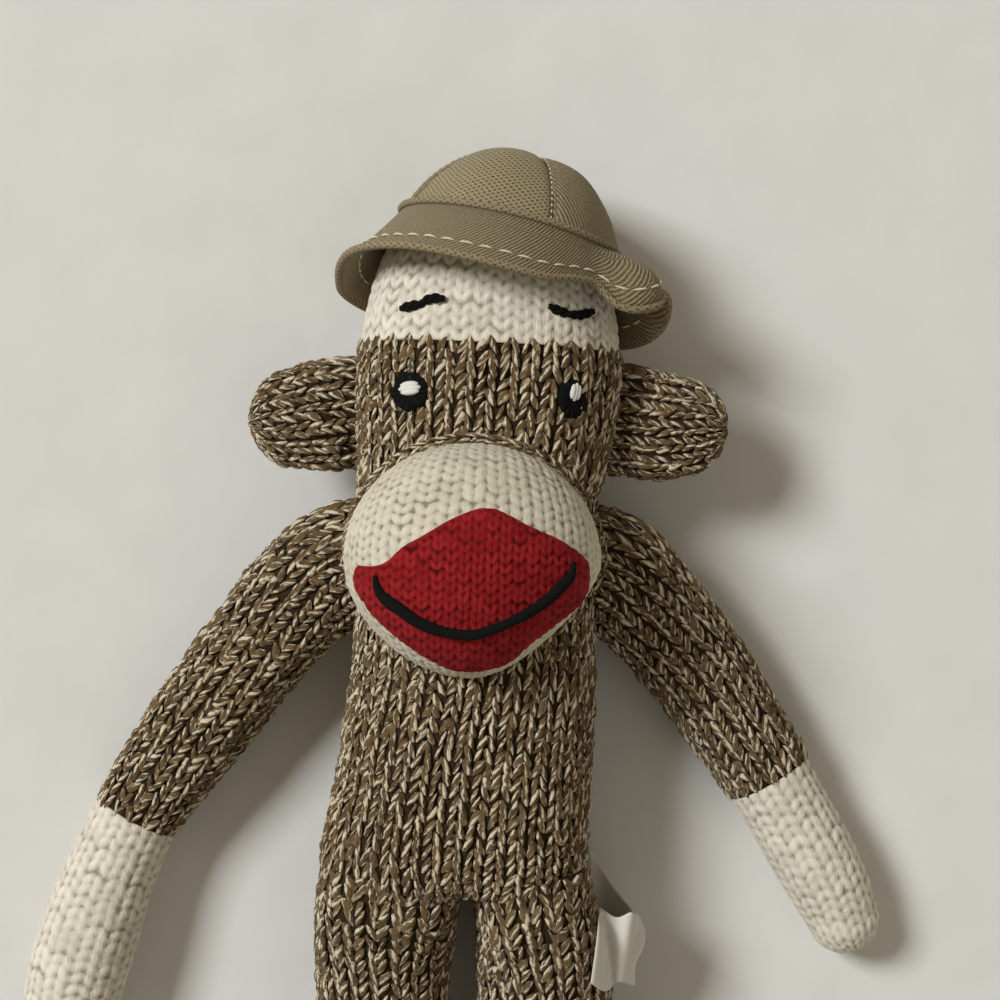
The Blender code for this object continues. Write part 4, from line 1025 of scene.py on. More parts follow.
def twisted_yarn(name, dark, body, light, share, softness, sheen):
    """Knitting yarn, read from the yarn map of the stitches."""
    values = {"Dark": dark, "Body": body, "Light": light, "Light share": share, "Softness": softness}
    return group_material(name, yarn_group(), values, YARN_BUMP, 0.92, sheen)


def marl_yarn():
    colours = doll_colours()
    return twisted_yarn(
        "marl_yarn", colours.marl_dark, colours.marl_brown, colours.marl_light, 0.50, 0.28, 0.15
    )


def red_yarn():
    colours = doll_colours()
    # The lighter red along the plies' twist is a painted highlight on a yarn of one colour.
    light = [min(1.0, value + 0.01) for value in shaded(colours.red, 1.25)]
    return twisted_yarn("red_yarn", colours.red_fibres_and_painted_shade, colours.red, light, 0.35, 0.5, 0.0)


def soft_knit(name, deep, body, light, sheen):
    """Felted knit, with its painted shade and highlight read from the hollows of its own skin."""
    values = {"Hollow shade": deep, "Body": body, "Light": light}
    return group_material(name, soft_knit_group(), values, SOFT_BUMP, 0.95, sheen)


def cream_knit():
    # The darkened cream shade goes into the hollows as painted shade, and the lighter cream onto the yarn's
    # tops as a painted highlight.
    cream, deep = doll_colours().cream, shaded(doll_colours().cream_painted_shade, 0.62)
    return soft_knit("cream_soft_knit", deep, shaded(cream, 0.93), shaded(cream, 1.2), 0.2)


def muzzle_knit():
    # The darkened cream shade is painted shade in the muzzle's holes; the plain cream on its yarn's tops is a
    # painted highlight.
    cream, deep = doll_colours().cream, shaded(doll_colours().cream_painted_shade, 0.45)
    body = [value * share for value, share in zip(cream, (0.84, 0.82, 0.76))]
    return soft_knit("muzzle_soft_knit", deep, body, cream, 0.15)


def mouth_knit():
    # The darkened red shade is painted shade in the mouth's hollows, and the lighter red is a painted
    # highlight on its yarn's tops.
    red, deep = doll_colours().red, shaded(doll_colours().red_fibres_and_painted_shade, 0.5)
    light = [value + 0.008 for value in shaded(red, 1.45)]
    return soft_knit("mouth_soft_knit", deep, red, light, 0.0)


def painted_shade_lining():
    """The inside of the marl knit that shows between its stitches, painted near-black as the shade between
    them.
    """
    dark = doll_colours().marl_dark
    return felted_material("painted_shade_lining", shaded(dark, 0.45), shaded(dark, 0.9), 900.0, 0.2 * MM)


def black_yarn():
    black = doll_colours().black
    yarn = felted_material("black_yarn", black, shaded(black, 2.2), 2600.0, 0.15 * MM)
    shader = yarn.node_tree.nodes["Principled BSDF"]
    shader.inputs["Specular IOR Level"].default_value = BLACK_YARN_SPECULAR
    return yarn


def white_yarn():
    white = doll_colours().white
    return felted_material("white_yarn", shaded(white, 0.6), white, 2200.0, 0.15 * MM)


def topstitch_thread():
    pale = doll_colours().thread
    return felted_material("topstitch_thread", shaded(pale, 0.7), pale, 3000.0, 0.05 * MM, 0.7)


def white_satin():
    satin = doll_colours().satin
    return felted_material("white_satin", satin, shaded(satin, 1.07), 500.0, 0.03 * MM, 0.45, 0.2)


def floor_paint():
    floor = doll_colours().floor
    return felted_material("studio_floor", floor, shaded(floor, 1.04), 60.0, 0.3 * MM)


def twill(name, pitch, slant, dots):
    colours = doll_colours()
    values = {
        "Cloth": colours.twill, "Shade": colours.twill_shade, "Rib pitch": pitch, "Slant": slant, "Dots": dots
    }
    return group_material(name, weave_group(), values, WEAVE_BUMP, 0.85, 0.1)


# The stuffed tubes

NECK = 41.0 * MM
BROW_LINE = 70.8 * MM
CROWN_START = 69.9 * MM
NECK_BLEND = ("trunk", "head", (0, 0.033, 0.02), (0, 0.050, 0.02))
BODY_WALES = 38
CROWN_LEAN = 0.2
# The crotch's dent in millimetres: where it starts up the doll, over how far it deepens, how deep it
# gets, the middle and half width of its groove, and the height at which it turns from under to over.
CROTCH = {"start": -31.0, "over": 8.0, "deep": 3.5, "middle": 0.8, "half": 4.0, "turn": 18.0, "ease": 12.0}
# The torso's end that stays in sight between the tops of the legs.
LEG_TOPS = -39.0 * MM
BETWEEN_LEGS = (1.2 * MM, 5.5 * MM)
HEEL_MIDDLE = (-2.4 * MM, -35.8 * MM)
HEEL_HALVES = (13.2 * MM, 11.7 * MM)
HEEL_TOP = 9 * MM
ANKLE = -117.9 * MM
HIP_FOLD = ((-0.036, 0.02), (-0.056, 0.02))
WRIST = {"left": -68.2 * MM, "right": 61.2 * MM}
TAIL_TIP = -118.0 * MM
LIMB_DOME = 0.95
EAR_DOME = 0.86
BODY_DOMES = (0.06, 0.62)


def marl_cover(part, end, form, seed, span, wales, carrier, keep=None):
    """Marl stitches over a part's stuffing, whose skin, painted dark as shade, shows between them."""
    cover, stuffing = f"{part}_cover{end}", f"{part}_stuffing{end}"
    skin = skin_piece(f"{part}_lining{end}", form, span)
    knit = knit_piece(f"{part}_knit{end}", form, marl_yarn(), seed, span, wales, keep=keep)
    declare(skin, "brown_marl_knit", carrier, cover, stuffing)
    declare(knit, "brown_marl_knit", carrier, cover)


def cream_cover(name, node, form, seed, span, wales, body, lean=SOFT_LEAN):
    """Cream knit on a part's end, stuffed and its own skin."""
    piece = soft_tube(name, form, seed, span, wales, lean)
    declare(piece, "cream_knit", body, node)


def crotch_dent(net):
    """Draws the torso in a little above the crotch."""
    x, y, height = np.moveaxis(net, -1, 0) / MM
    deep = np.clip((CROTCH["start"] - y) / CROTCH["over"], 0, 1) ** 2 * CROTCH["deep"]
    near = np.exp(-(((x - CROTCH["middle"]) / CROTCH["half"]) ** 2))
    over = np.clip((height - CROTCH["turn"]) / CROTCH["ease"], -0.6, 1)
    net[:, :, 2] = (height - deep * near * over) * MM


def above_legs(places):
    """Leaves out the stitches of the torso's end that the legs' tops cover."""
    between = np.abs(places[:, 0] - BETWEEN_LEGS[0]) < BETWEEN_LEGS[1]
    return (places[:, 1] > LEG_TOPS) | between


def on_heel(places):
    """The stitches of the red heel, low on the doll's back."""
    across, along = ((places[:, k] - HEEL_MIDDLE[k]) / HEEL_HALVES[k] for k in (0, 1))
    return (across**2 + along**2 < 1) & (places[:, 2] < HEEL_TOP)


class DOLL_OT_body(bpy.types.Operator):
    """Knits the torso and the head as one tube, brown up to the brow and cream above it"""

    bl_idname = "doll.body"
    bl_label = "Torso and head"

    def execute(self, context):
        form = tube_form(BODY_ROWS, *BODY_DOMES, crotch_dent)
        neck, brow, crown = (form.share_at(1, place) for place in (NECK, BROW_LINE, CROWN_START))
        marl_cover(
            "torso", "", form, 0, (0.0, neck), BODY_WALES, NECK_BLEND,
            keep=lambda places: above_legs(places) & ~on_heel(places),
        )
        marl_cover("head", "", form, 1, (neck, brow), BODY_WALES, NECK_BLEND)
        cream_cover("crown_knit", "crown_cover", form, 2, (crown, 1.0), BODY_WALES, "head", CROWN_LEAN)
        heel = knit_piece(
            "seat_knit", form, red_yarn(), 0, (0.0, neck), BODY_WALES,
            keep=lambda places: above_legs(places) & on_heel(places),
        )
        declare(heel, "red_knit", "trunk", "seat_heel")
        return {"FINISHED"}


class DOLL_OT_legs(bpy.types.Operator):
    """Knits the legs with their cream feet"""

    bl_idname = "doll.legs"
    bl_label = "Legs and feet"

    def execute(self, context):
        for side, sign in SIDES.items():
            form = tube_form(LEG_ROWS[side], end_dome=LIMB_DOME)
            ankle = form.share_at(1, ANKLE)
            body = f"leg_{side}"
            middle = LEG_ROWS[side][1][0] * MM
            fold = ("trunk", body, *((middle, *place) for place in HIP_FOLD))
            marl_cover("leg", f"_{side}", form, 11 + sign, (0, ankle), 20, fold)
            cream_cover(f"foot_knit_{side}", f"foot_cover_{side}", form, 14 + sign, (ankle, 1), 15, body)
        return {"FINISHED"}


class DOLL_OT_arms(bpy.types.Operator):
    """Knits the arms with their cream hands"""

    bl_idname = "doll.arms"
    bl_label = "Arms and hands"

    def execute(self, context):
        for side, sign in SIDES.items():
            form = tube_form(ARM_ROWS[side], end_dome=LIMB_DOME)
            wrist = form.share_at(0, WRIST[side])
            body = f"arm_{side}"
            marl_cover("arm", f"_{side}", form, 21 + sign, (0, wrist), 16, body)
            cream_cover(f"hand_knit_{side}", f"hand_cover_{side}", form, 24 + sign, (wrist, 1), 12, body)
        return {"FINISHED"}


class DOLL_OT_ears(bpy.types.Operator):
    """Knits the ears with their wales running outwards"""

    bl_idname = "doll.ears"
    bl_label = "Ears"

    def execute(self, context):
        for side, sign in SIDES.items():
            form = tube_form(EAR_ROWS[side], end_dome=EAR_DOME)
            marl_cover("ear", f"_{side}", form, 31 + sign, (0.0, 1.0), 14, f"ear_{side}")
        return {"FINISHED"}


class DOLL_OT_tail(bpy.types.Operator):
    """Knits the tail with its cream tip"""

    bl_idname = "doll.tail"
    bl_label = "Tail"

    def execute(self, context):
        form = tube_form(TAIL_ROWS, end_dome=LIMB_DOME)
        change = form.share_at(1, TAIL_TIP)
        marl_cover("tail", "", form, 41, (0, change), 8, "tail")
        cream_cover("tail_tip_knit", "tail_tip", form, 42, (change, 1), 6, "tail")
        return {"FINISHED"}


# The face

# The muzzle's dome, how it narrows downwards on each side, its knit and the loops round its top.
MUZZLE_MIDDLE = (-1.3 * MM, 28.4 * MM, 41.0 * MM)
MUZZLE_HALVES = (24.4 * MM, 22.3 * MM, 21.2 * MM)
MUZZLE_NARROWING = {"left": (0.12, 2.0), "right": (0.36, 1.2)}
MUZZLE_WALE = 4.7 * MM
MUZZLE_COURSE = 2.3 * MM
MUZZLE_RIM = 1.3
MUZZLE_NET = (120, 321)
MUZZLE_DEPTH = 0.42 * MM
MUZZLE_LIFT = 0.3 * MM
MUZZLE_GAP = 1.0 * MM
# Soft knit counts its wales and courses from a corner, so the dome's middle lies this far in.
FACE_WALES = 61
FACE_START = 30
LOOPS_TURNS = (-14, 196, 60)
LOOPS_STEPS = (-0.2, 2.0, 5)
LOOPS_SIZES = (2.2 * MM, 2.6 * MM, 1.1 * MM, 0.8 * MM)
LOOPS_LOWEST = 30 * MM
LOOPS_RISE = 0.9 * MM
MOUTH_MIDDLE = (-1.15 * MM, 23.1 * MM)
MOUTH_HALVES = (22.0 * MM, 15.3 * MM)
MOUTH_OUTLINE_SHARES = (
    (1.0, 0.22), (0.97, 0.41), (0.88, 0.53), (0.72, 0.66), (0.42, 0.84), (0.28, 0.94), (0.17, 1.0),
    (0.07, 1.0), (-0.15, 0.88), (-0.43, 0.63), (-0.57, 0.51), (-0.75, 0.28), (-0.86, 0.24), (-0.95, 0.25),
    (-1.0, 0.13), (-0.98, -0.05), (-0.90, -0.23), (-0.65, -0.57), (-0.35, -0.85), (-0.10, -1.0),
    (0.04, -1.0), (0.19, -0.97), (0.30, -0.91), (0.54, -0.61), (0.82, -0.29), (0.94, -0.14), (0.99, 0.01),
)
MOUTH_RISE = 0.95 * MM
MOUTH_WALE = 2.6 * MM
MOUTH_COURSE = 1.85 * MM
MOUTH_SQUEEZE = 1.06
MOUTH_DEPTH = 0.34 * MM
MOUTH_LIFT = 0.25 * MM
MOUTH_NET = (56, 281)
# The patch's rolled edge: shares of its outline, and how far they sink in millimetres.
MOUTH_EDGE = (
    (0.95, 0.0), (0.97, -0.04), (0.985, -0.12), (0.995, -0.28), (1.0, -0.5), (0.995, -0.8), (0.97, -1.1),
)
SMILE_ROUTE_SHARES = (
    (-0.81, 0.14), (-0.78, -0.02), (-0.70, -0.15), (-0.58, -0.25), (-0.44, -0.38), (-0.30, -0.46),
    (-0.14, -0.51), (0.02, -0.52), (0.18, -0.45), (0.33, -0.35), (0.48, -0.23), (0.62, -0.09),
    (0.75, 0.10), (0.83, 0.23), (0.86, 0.41),
)
SMILE_RADII = (0.35, 0.95, 1.2, 1.15, 1.1, 1.0, 1.0, 0.95, 0.9, 0.9, 0.95, 1.0, 1.15, 1.05, 0.35)
SMILE_FULLNESS = 1.05
SMILE_RISE = 0.55 * MM
SMILE_STEPS = 60


def muzzle_width(side, down):
    """How much of its full width the dome keeps on one side, at a share of the way down."""
    amount, power = MUZZLE_NARROWING[side]
    return 1 - amount * np.clip(down, 0, 1) ** power


def muzzle_point(across, up):
    """Points on the muzzle's dome at arc shares of a quarter turn from its top."""
    far = np.hypot(across, up)
    turn = np.minimum(far, 1.35) * math.pi / 2
    safe = np.maximum(far, 1e-9)
    x = np.sin(turn) * across / safe
    y = np.sin(turn) * up / safe
    x = x * np.where(x > 0, muzzle_width("right", -y), muzzle_width("left", -y))
    return np.stack([x, y, np.cos(turn)], axis=-1) * MUZZLE_HALVES + MUZZLE_MIDDLE


def muzzle_height(x, y, rise):
    """The height of the dome, made larger by a rise, over a place."""
    halves = [half + rise for half in MUZZLE_HALVES]
    x = (np.asarray(x) - MUZZLE_MIDDLE[0]) / halves[0]
    y = (np.asarray(y) - MUZZLE_MIDDLE[1]) / halves[1]
    x = x / np.where(x > 0, muzzle_width("right", -y), muzzle_width("left", -y))
    return MUZZLE_MIDDLE[2] + halves[2] * np.sqrt(np.maximum(0.02, 1 - x**2 - y**2))


def dome_normals(points):
    """Directions out of the muzzle's dome at rows of points."""
    return unit((points - MUZZLE_MIDDLE) / np.array(MUZZLE_HALVES) ** 2)


def head_tree():
    return rest_tree("torso_lining", "head_lining", "crown_knit")


class DOLL_OT_muzzle(bpy.types.Operator):
    """Knits the stuffed cream muzzle onto the head, with a row of marl loops round its upper edge"""

    bl_idname = "doll.muzzle"
    bl_label = "Muzzle"

    def execute(self, context):
        tree = head_tree()
        rings, columns = MUZZLE_NET
        turn, far = np.meshgrid(np.linspace(0, math.tau, columns), np.linspace(0, MUZZLE_RIM, rings))
        across, up = far * np.cos(turn), far * np.sin(turn)
        points = muzzle_point(across, up)
        heights = leg_heights(
            across * math.pi / 2 * MUZZLE_HALVES[0] / MUZZLE_WALE + FACE_START + 0.5,
            up * math.pi / 2 * MUZZLE_HALVES[1] / MUZZLE_COURSE + FACE_START, FACE_WALES, 0.13, 51,
        )
        dome = soft_skin(
            "muzzle_knit", points, dome_normals(points), heights, MUZZLE_DEPTH, MUZZLE_LIFT, muzzle_knit(),
            settle=lambda places: raised_onto(tree, places, MUZZLE_GAP),
        )
        declare(dome, "cream_knit", "head", "muzzle_cover", "muzzle_stuffing")
        rows = []
        for turn in np.radians(np.linspace(*LOOPS_TURNS)):
            across, up = np.array(math.cos(turn)), np.array(math.sin(turn))
            places = muzzle_point(across, up) + np.outer(np.linspace(*LOOPS_STEPS) * MM, (across, up, 0.0))
            for place in places:
                place[2] = max(top_at(tree, *place[:2], LOOPS_LOWEST), LOOPS_LOWEST) + LOOPS_RISE
            rows.append(places)
        loops = Form(np.array(rows), closed=False)
        chain = knit_piece("muzzle_seam", loops, marl_yarn(), 52, wales=1, sizes=LOOPS_SIZES)
        declare(chain, "brown_marl_knit", "head", "muzzle_cover")
        return {"FINISHED"}


def mouth_reach():
    """Turns round the mouth's middle and how far its outline reaches there, in shares of its halves."""
    points = np.array(MOUTH_OUTLINE_SHARES + MOUTH_OUTLINE_SHARES[:3])
    line = np.concatenate([points[-6:-3], points])
    smooth = smooth_through(np.pad(line, ((0, 0), (0, 1))), 400)[:, :2]
    turn = np.arctan2(smooth[:, 1], smooth[:, 0]) % math.tau
    order = np.argsort(turn)
    return turn[order], np.hypot(*smooth[order].T)


class DOLL_OT_mouth(bpy.types.Operator):
    """Knits the red mouth patch and sews the black smile on it"""

    bl_idname = "doll.mouth"
    bl_label = "Mouth and smile"

    def execute(self, context):
        rings, columns = MOUTH_NET
        edge = np.array(MOUTH_EDGE)
        shares = np.concatenate([np.linspace(0, 0.93, rings), edge[:, 0]])
        sunk = np.concatenate([np.zeros(rings), edge[:, 1]])[:, None] * MM
        turn, share = np.meshgrid(np.linspace(0, math.tau, columns), shares)
        radius = np.interp(turn, *mouth_reach(), period=math.tau) * share
        x = MOUTH_MIDDLE[0] + np.cos(turn) * radius * MOUTH_HALVES[0]
        y = MOUTH_MIDDLE[1] + np.sin(turn) * radius * MOUTH_HALVES[1]
        points = np.stack([x, y, muzzle_height(x, y, MOUTH_RISE + sunk)], axis=-1)
        heights = leg_heights(
            (x - MOUTH_MIDDLE[0]) / MOUTH_WALE * MOUTH_SQUEEZE + FACE_START,
            (y - MOUTH_MIDDLE[1]) / MOUTH_COURSE + FACE_START, FACE_WALES, 0.15, 53,
        )
        patch = soft_skin(
            "mouth_knit", points, dome_normals(points), heights, MOUTH_DEPTH, MOUTH_LIFT, mouth_knit()
        )
        declare(patch, "red_knit", "head", "mouth_patch")
        route = []
        for x, y in SMILE_ROUTE_SHARES:
            place = (MOUTH_MIDDLE[0] + x * MOUTH_HALVES[0], MOUTH_MIDDLE[1] + y * MOUTH_HALVES[1])
            route.append((*place, float(muzzle_height(*place, MOUTH_RISE + SMILE_RISE))))
        shares = np.linspace(0, 1, SMILE_STEPS)
        radii = np.interp(shares, np.linspace(0, 1, len(SMILE_RADII)), SMILE_RADII) * MM * SMILE_FULLNESS
        bm = bmesh.new()
        ring_loft(bm, strand_rings(smooth_through(route, SMILE_STEPS), radii, 12, 0.75))
        declare(mesh_object("smile_yarn", bm, black_yarn()), "black_yarn", "head", "smile_stitch")
        return {"FINISHED"}


# How high the face's yarn lies over the skin. The eyes, in millimetres: middle, halves, the glint's
# middle, and its half length, half width and tilt. The eyebrows' stitches are three places each.
KNIT_RISE = 0.75 * MM
EYES = {
    "left": ((-14.75, 60.2), (3.75, 4.0), (-14.7, 60.7), (2.1, 1.6, 8.0)),
    "right": ((16.5, 60.1), (2.85, 4.1), (17.1, 61.4), (1.75, 1.25, 82.0)),
}
BROWS = {
    "left": (((-17.4, 76.0), (-15.3, 76.5), (-12.6, 77.0)), ((-13.4, 77.1), (-11.0, 78.0), (-8.6, 77.9))),
    "right": (((11.2, 77.5), (13.2, 76.7), (15.7, 76.1)), ((14.9, 76.2), (17.5, 76.3), (20.2, 77.4))),
}
BROW_RADIUS = 0.9 * MM
BROW_TWIST = 3.4 * MM
BROW_STEPS = 14
# The eye's padding as shares of its outline and heights, and the yarn laid over it from its middle.
EYE_STEPS = 40
EYE_PROFILE = ((0.0, -0.6), (0.8, -0.6), (0.95, -0.3), (0.97, 0.0), (0.85, 0.42), (0.4, 0.6), (0.0, 0.65))
EYE_PETALS = 26
EYE_PETAL_RADIUS = 0.5 * MM
EYE_PETAL_HEIGHT = 0.35
GLINT_STRANDS = 3
GLINT_HEIGHT = 1.05
STRAND_STEPS = 6


class DOLL_OT_face(bpy.types.Operator):
    """Embroiders the eyes with their glints and the two stitches of each eyebrow"""

    bl_idname = "doll.face"
    bl_label = "Eyes and eyebrows"

    def execute(self, context):
        tree = head_tree()

        def laid(points, height):
            """Places in millimetres over the face, at a height over its knit."""
            places = [(x * MM, y * MM) for x, y in points]
            return [(*place, top_at(tree, *place) + KNIT_RISE + height * MM) for place in places]

        def on_eye(turn, share):
            """A place on an eye, by the turn round its middle and the share of its outline."""
            across, up = math.cos(turn) * share * halves[0], math.sin(turn) * share * halves[1]
            return middle[0] + across, middle[1] + up

        for side in SIDES:
            middle, halves, glint, (long, wide, tilt) = EYES[side]
            bm = bmesh.new()
            turns = np.linspace(0, math.tau, EYE_STEPS, endpoint=False)
            ring_loft(bm, [
                laid([on_eye(turn, share) for turn in turns], height) for share, height in EYE_PROFILE
            ])
            for petal in range(EYE_PETALS):
                turn = math.tau * petal / EYE_PETALS + 0.13 * math.sin(petal * 2.7)
                shares = np.linspace(0.12, 1.0 + 0.035 * math.sin(petal * 4.1), STRAND_STEPS)
                route = laid([on_eye(turn, share) for share in shares], EYE_PETAL_HEIGHT)
                route[-1] = (*route[-1][:2], route[-1][2] - 0.5 * MM)
                ring_loft(bm, strand_rings(route, rounded(STRAND_STEPS, EYE_PETAL_RADIUS), 6, 0.8))
            eye = mesh_object(f"eye_{side}_yarn", bm, black_yarn())
            bm = bmesh.new()
            ahead = (math.cos(math.radians(tilt)), math.sin(math.radians(tilt)))
            for strand in range(GLINT_STRANDS):
                offset = (strand - (GLINT_STRANDS - 1) / 2) / GLINT_STRANDS * 2
                reach = long * (1.0 - 0.28 * abs(offset))
                line = [
                    (
                        glint[0] + ahead[0] * step * reach - ahead[1] * offset * wide * 0.62,
                        glint[1] + ahead[1] * step * reach + ahead[0] * offset * wide * 0.62,
                    )
                    for step in np.linspace(-1, 1, STRAND_STEPS)
                ]
                radii = rounded(STRAND_STEPS, wide * 0.46 * MM)
                ring_loft(bm, strand_rings(laid(line, GLINT_HEIGHT), radii, 6, 0.8))
            spot = mesh_object(f"eye_glint_{side}_yarn", bm, white_yarn())
            bm = bmesh.new()
            for number, stitch in enumerate(BROWS[side]):
                route = smooth_through(laid(stitch, -0.15 + 0.25 * number), BROW_STEPS)
                twisted(bm, route, rounded(BROW_STEPS, BROW_RADIUS, 0.3), BROW_TWIST)
            brow = mesh_object(f"eyebrow_{side}_yarn", bm, black_yarn())
            declare(eye, "black_yarn", "head", f"eye_{side}")
            declare(spot, "white_yarn", "head", f"eye_glint_{side}")
            declare(brow, "black_yarn", "head", f"eyebrow_{side}")
        return {"FINISHED"}


# The hat, on whose own frame the crown stands up along Z.

HAT_PLACE = (3.3 * MM, 92.6 * MM, 23.1 * MM)
HAT_LEAN = math.radians(-10.8)
HAT_TILT = math.radians(-95.0)
# The crown in shares of its radius and height.
CROWN_PROFILE = (
    (0.0, 1.0), (0.09, 0.993), (0.17, 0.975), (0.30, 0.935), (0.43, 0.875), (0.54, 0.80), (0.63, 0.71),
    (0.71, 0.61), (0.78, 0.51), (0.845, 0.40), (0.90, 0.28), (0.955, 0.14), (1.0, 0.0),
)
CROWN_STEPS = 30
HAT_PANELS = 4
PANEL_TURN = 90.0
FIRST_SEAM = 69.0
PANEL_STEPS = 22
PANEL_PUFF = 0.7 * MM
PANEL_SWELL = 0.35 * MM
SEAM_DEPTH = 1.0 * MM
SEAM_HALF_WIDTH = 0.9 * MM
# The twills: rib pitch, slant and share of dots. The first panel's cloth shows its dotted side.
TWILLS = {
    "dotted": ("twill_panel_dotted", 1.05 * MM, 0.6, 0.92), "panel": ("twill_panel", 0.95 * MM, 0.18, 0.12),
    "brim": ("twill_brim", 1.0 * MM, -0.9, 0.15), "roll": ("twill_roll", 0.8 * MM, 0.9, 0.6),
}
# The brim by turns from the doll's right over the front: slope, length and curl of the edge.
BRIM_ROWS = (
    (2, 42, 15.6, 0), (9, 22, 13.2, 20), (15, 10, 12.4, 55), (22, 6, 16.4, 95), (29, 16, 17.0, 96),
    (36, 42, 14.2, 50), (44, 62, 10.2, 8), (55, 66, 10.2, 0), (72, 61, 13.0, 0), (90, 57, 13.8, 0),
    (130, 53, 14.8, -6), (160, 57, 16.4, -10), (180, 63, 18.6, -8), (205, 63, 20.2, -6), (225, 69, 19.6, 0),
    (270, 83, 15.0, 0), (310, 76, 15.6, 0), (335, 68, 16.0, 0), (350, 58, 16.4, 0), (357, 50, 16.2, 0),
)
BRIM_TURNS = 192
BRIM_STEPS = 14
EDGE_RADIUS = 0.75 * MM
BRIM_WALK = 24
BRIM_FULL_LENGTH = 16 * MM
BRIM_WEAVE_RADIUS = 30 * MM
# The rolled edge and the roll over the crown's seam: share of the brim, radius and rise.
ROLLS = {"hat_edge_roll": (1.0, EDGE_RADIUS, 0.1 * MM), "hat_seam_roll": (0.0, 0.7 * MM, 0.45 * MM)}
ROLL_WEAVE = 0.6 * MM
ROLL_JOIN = 0.002 * MM
# Rows of stitches: how much of their pitch they fill, their radius, and how they arch in radii.
STITCH_FROM_EDGE = 3.7 * MM
STITCH_RISE = 0.12 * MM
TOPSTITCH_FORM = (0.78, 0.27 * MM)
SEAM_STITCH_PITCH = 1.5 * MM
SEAM_STITCH_FORM = (0.6, 0.16 * MM)
SEAM_STITCH_TURN = 2.2
SEAM_STITCH_OUT = 0.35 * MM
SEAM_STITCH_UP = 0.2 * MM
STITCH_ARCH = np.array([-0.5, 0.35, 0.6, 0.35, -0.5])
TACK_ROUTE = ((349, 0.80), (349.5, 0.86), (350, 0.93), (350.5, 1.0))
TACK_RADIUS = 0.75 * MM
TACK_RISE = 0.25 * MM


def hat_frame():
    lean, tilt = Matrix.Rotation(HAT_LEAN, 4, "Z"), Matrix.Rotation(HAT_TILT, 4, "X")
    return np.array(Matrix.Translation(HAT_PLACE) @ lean @ tilt)


def in_doll(places):
    """Places of the hat's own frame in the doll's."""
    turn = hat_frame()
    return np.asarray(places, float) @ turn[:3, :3].T + turn[:3, 3]


def out_of(turn):
    """The direction out of the hat at a turn: 0 at the doll's right, 90 at the front."""
    return np.array([math.cos(math.radians(turn)), -math.sin(math.radians(turn)), 0.0])


def cloth_sheet(net, thickness, weave, closed=False):
    """A thick sheet over a net of points, with weave places in metres."""
    bm = bmesh.new()
    uv = bm.loops.layers.uv.new(WEAVE_MAP)
    at = {vert: (row, column) for vert, row, column in grid_points(bm, *net.shape[:2])}
    for face in bm.faces:
        for loop in face.loops:
            loop[uv].uv = weave[at[loop.vert]]
    for vert, place in at.items():
        vert.co = net[place]
    if closed:
        bmesh.ops.remove_doubles(bm, verts=bm.verts, dist=SOFT_JOIN)
    bmesh.ops.recalc_face_normals(bm, faces=bm.faces)
    bmesh.ops.solidify(bm, geom=bm.faces[:], thickness=thickness)
    bmesh.ops.recalc_face_normals(bm, faces=bm.faces)
    return bm


def closed_roll(bm, rings):
    """A closed ring of rings, with weave places along and round it."""
    uv = bm.loops.layers.uv.new(WEAVE_MAP)
    count, sides = len(rings), len(rings[0])
    at = {vert: (along, around) for vert, around, along in grid_points(bm, sides + 1, count + 1)}
    walk = np.linalg.norm(np.diff(np.array(rings)[:, 0], axis=0), axis=1).mean()
    for face in bm.faces:
        for loop in face.loops:
            along, around = at[loop.vert]
            loop[uv].uv = (along * walk, around * ROLL_WEAVE)
    for vert, (along, around) in at.items():
        vert.co = rings[along % count][around % sides]
    sew_up(bm, ROLL_JOIN, fill=False)


def brim_surface(turn, share, rise=0.0):
    """A place on the brim in the hat's own frame, by turn in degrees and share of its length."""
    rows = np.array(BRIM_ROWS, float)
    around = np.concatenate([rows[-3:] - (360, 0, 0, 0), rows, rows[:3] + (360, 0, 0, 0)])
    turn %= 360
    slope, reach, curl = eased_between(around, around[:, 0], turn)[1:]
    forms = bpy.context.scene.doll_forms
    reach = reach * MM * (forms.brim_length / BRIM_FULL_LENGTH)
    out, down = 0.0, 0.0
    for step in range(BRIM_WALK):
        part = (step + 0.5) / BRIM_WALK
        if part > share:
            break
        angle = math.radians(slope + curl * part**2)
        out += math.cos(angle) * reach / BRIM_WALK
        down += math.sin(angle) * reach / BRIM_WALK
    angle = math.radians(slope + curl * share**2)
    place = out_of(turn) * (forms.hat_radius + out + rise * math.sin(angle))
    place[2] = -down + rise * math.cos(angle)
    return place


def stitch_row(bm, points, ups, pitch, form):
    """Separate stitches laid along a line of points."""
    share, radius = form
    walked = walked_along(points)

    def on_line(at, places):
        return np.stack([np.interp(at, walked, places[:, k]) for k in range(3)], axis=-1)

    for number in range(max(1, int(walked[-1] / pitch))):
        start = number * pitch + pitch * (1 - share) / 2
        at = np.linspace(start, start + pitch * share, len(STITCH_ARCH))
        up = unit(on_line(at[2], ups))
        line = on_line(at, points) + up * (STITCH_ARCH * radius)[:, None]
        ring_loft(bm, strand_rings(line, rounded(len(at), radius, 0.5), 5, 0.8, up))


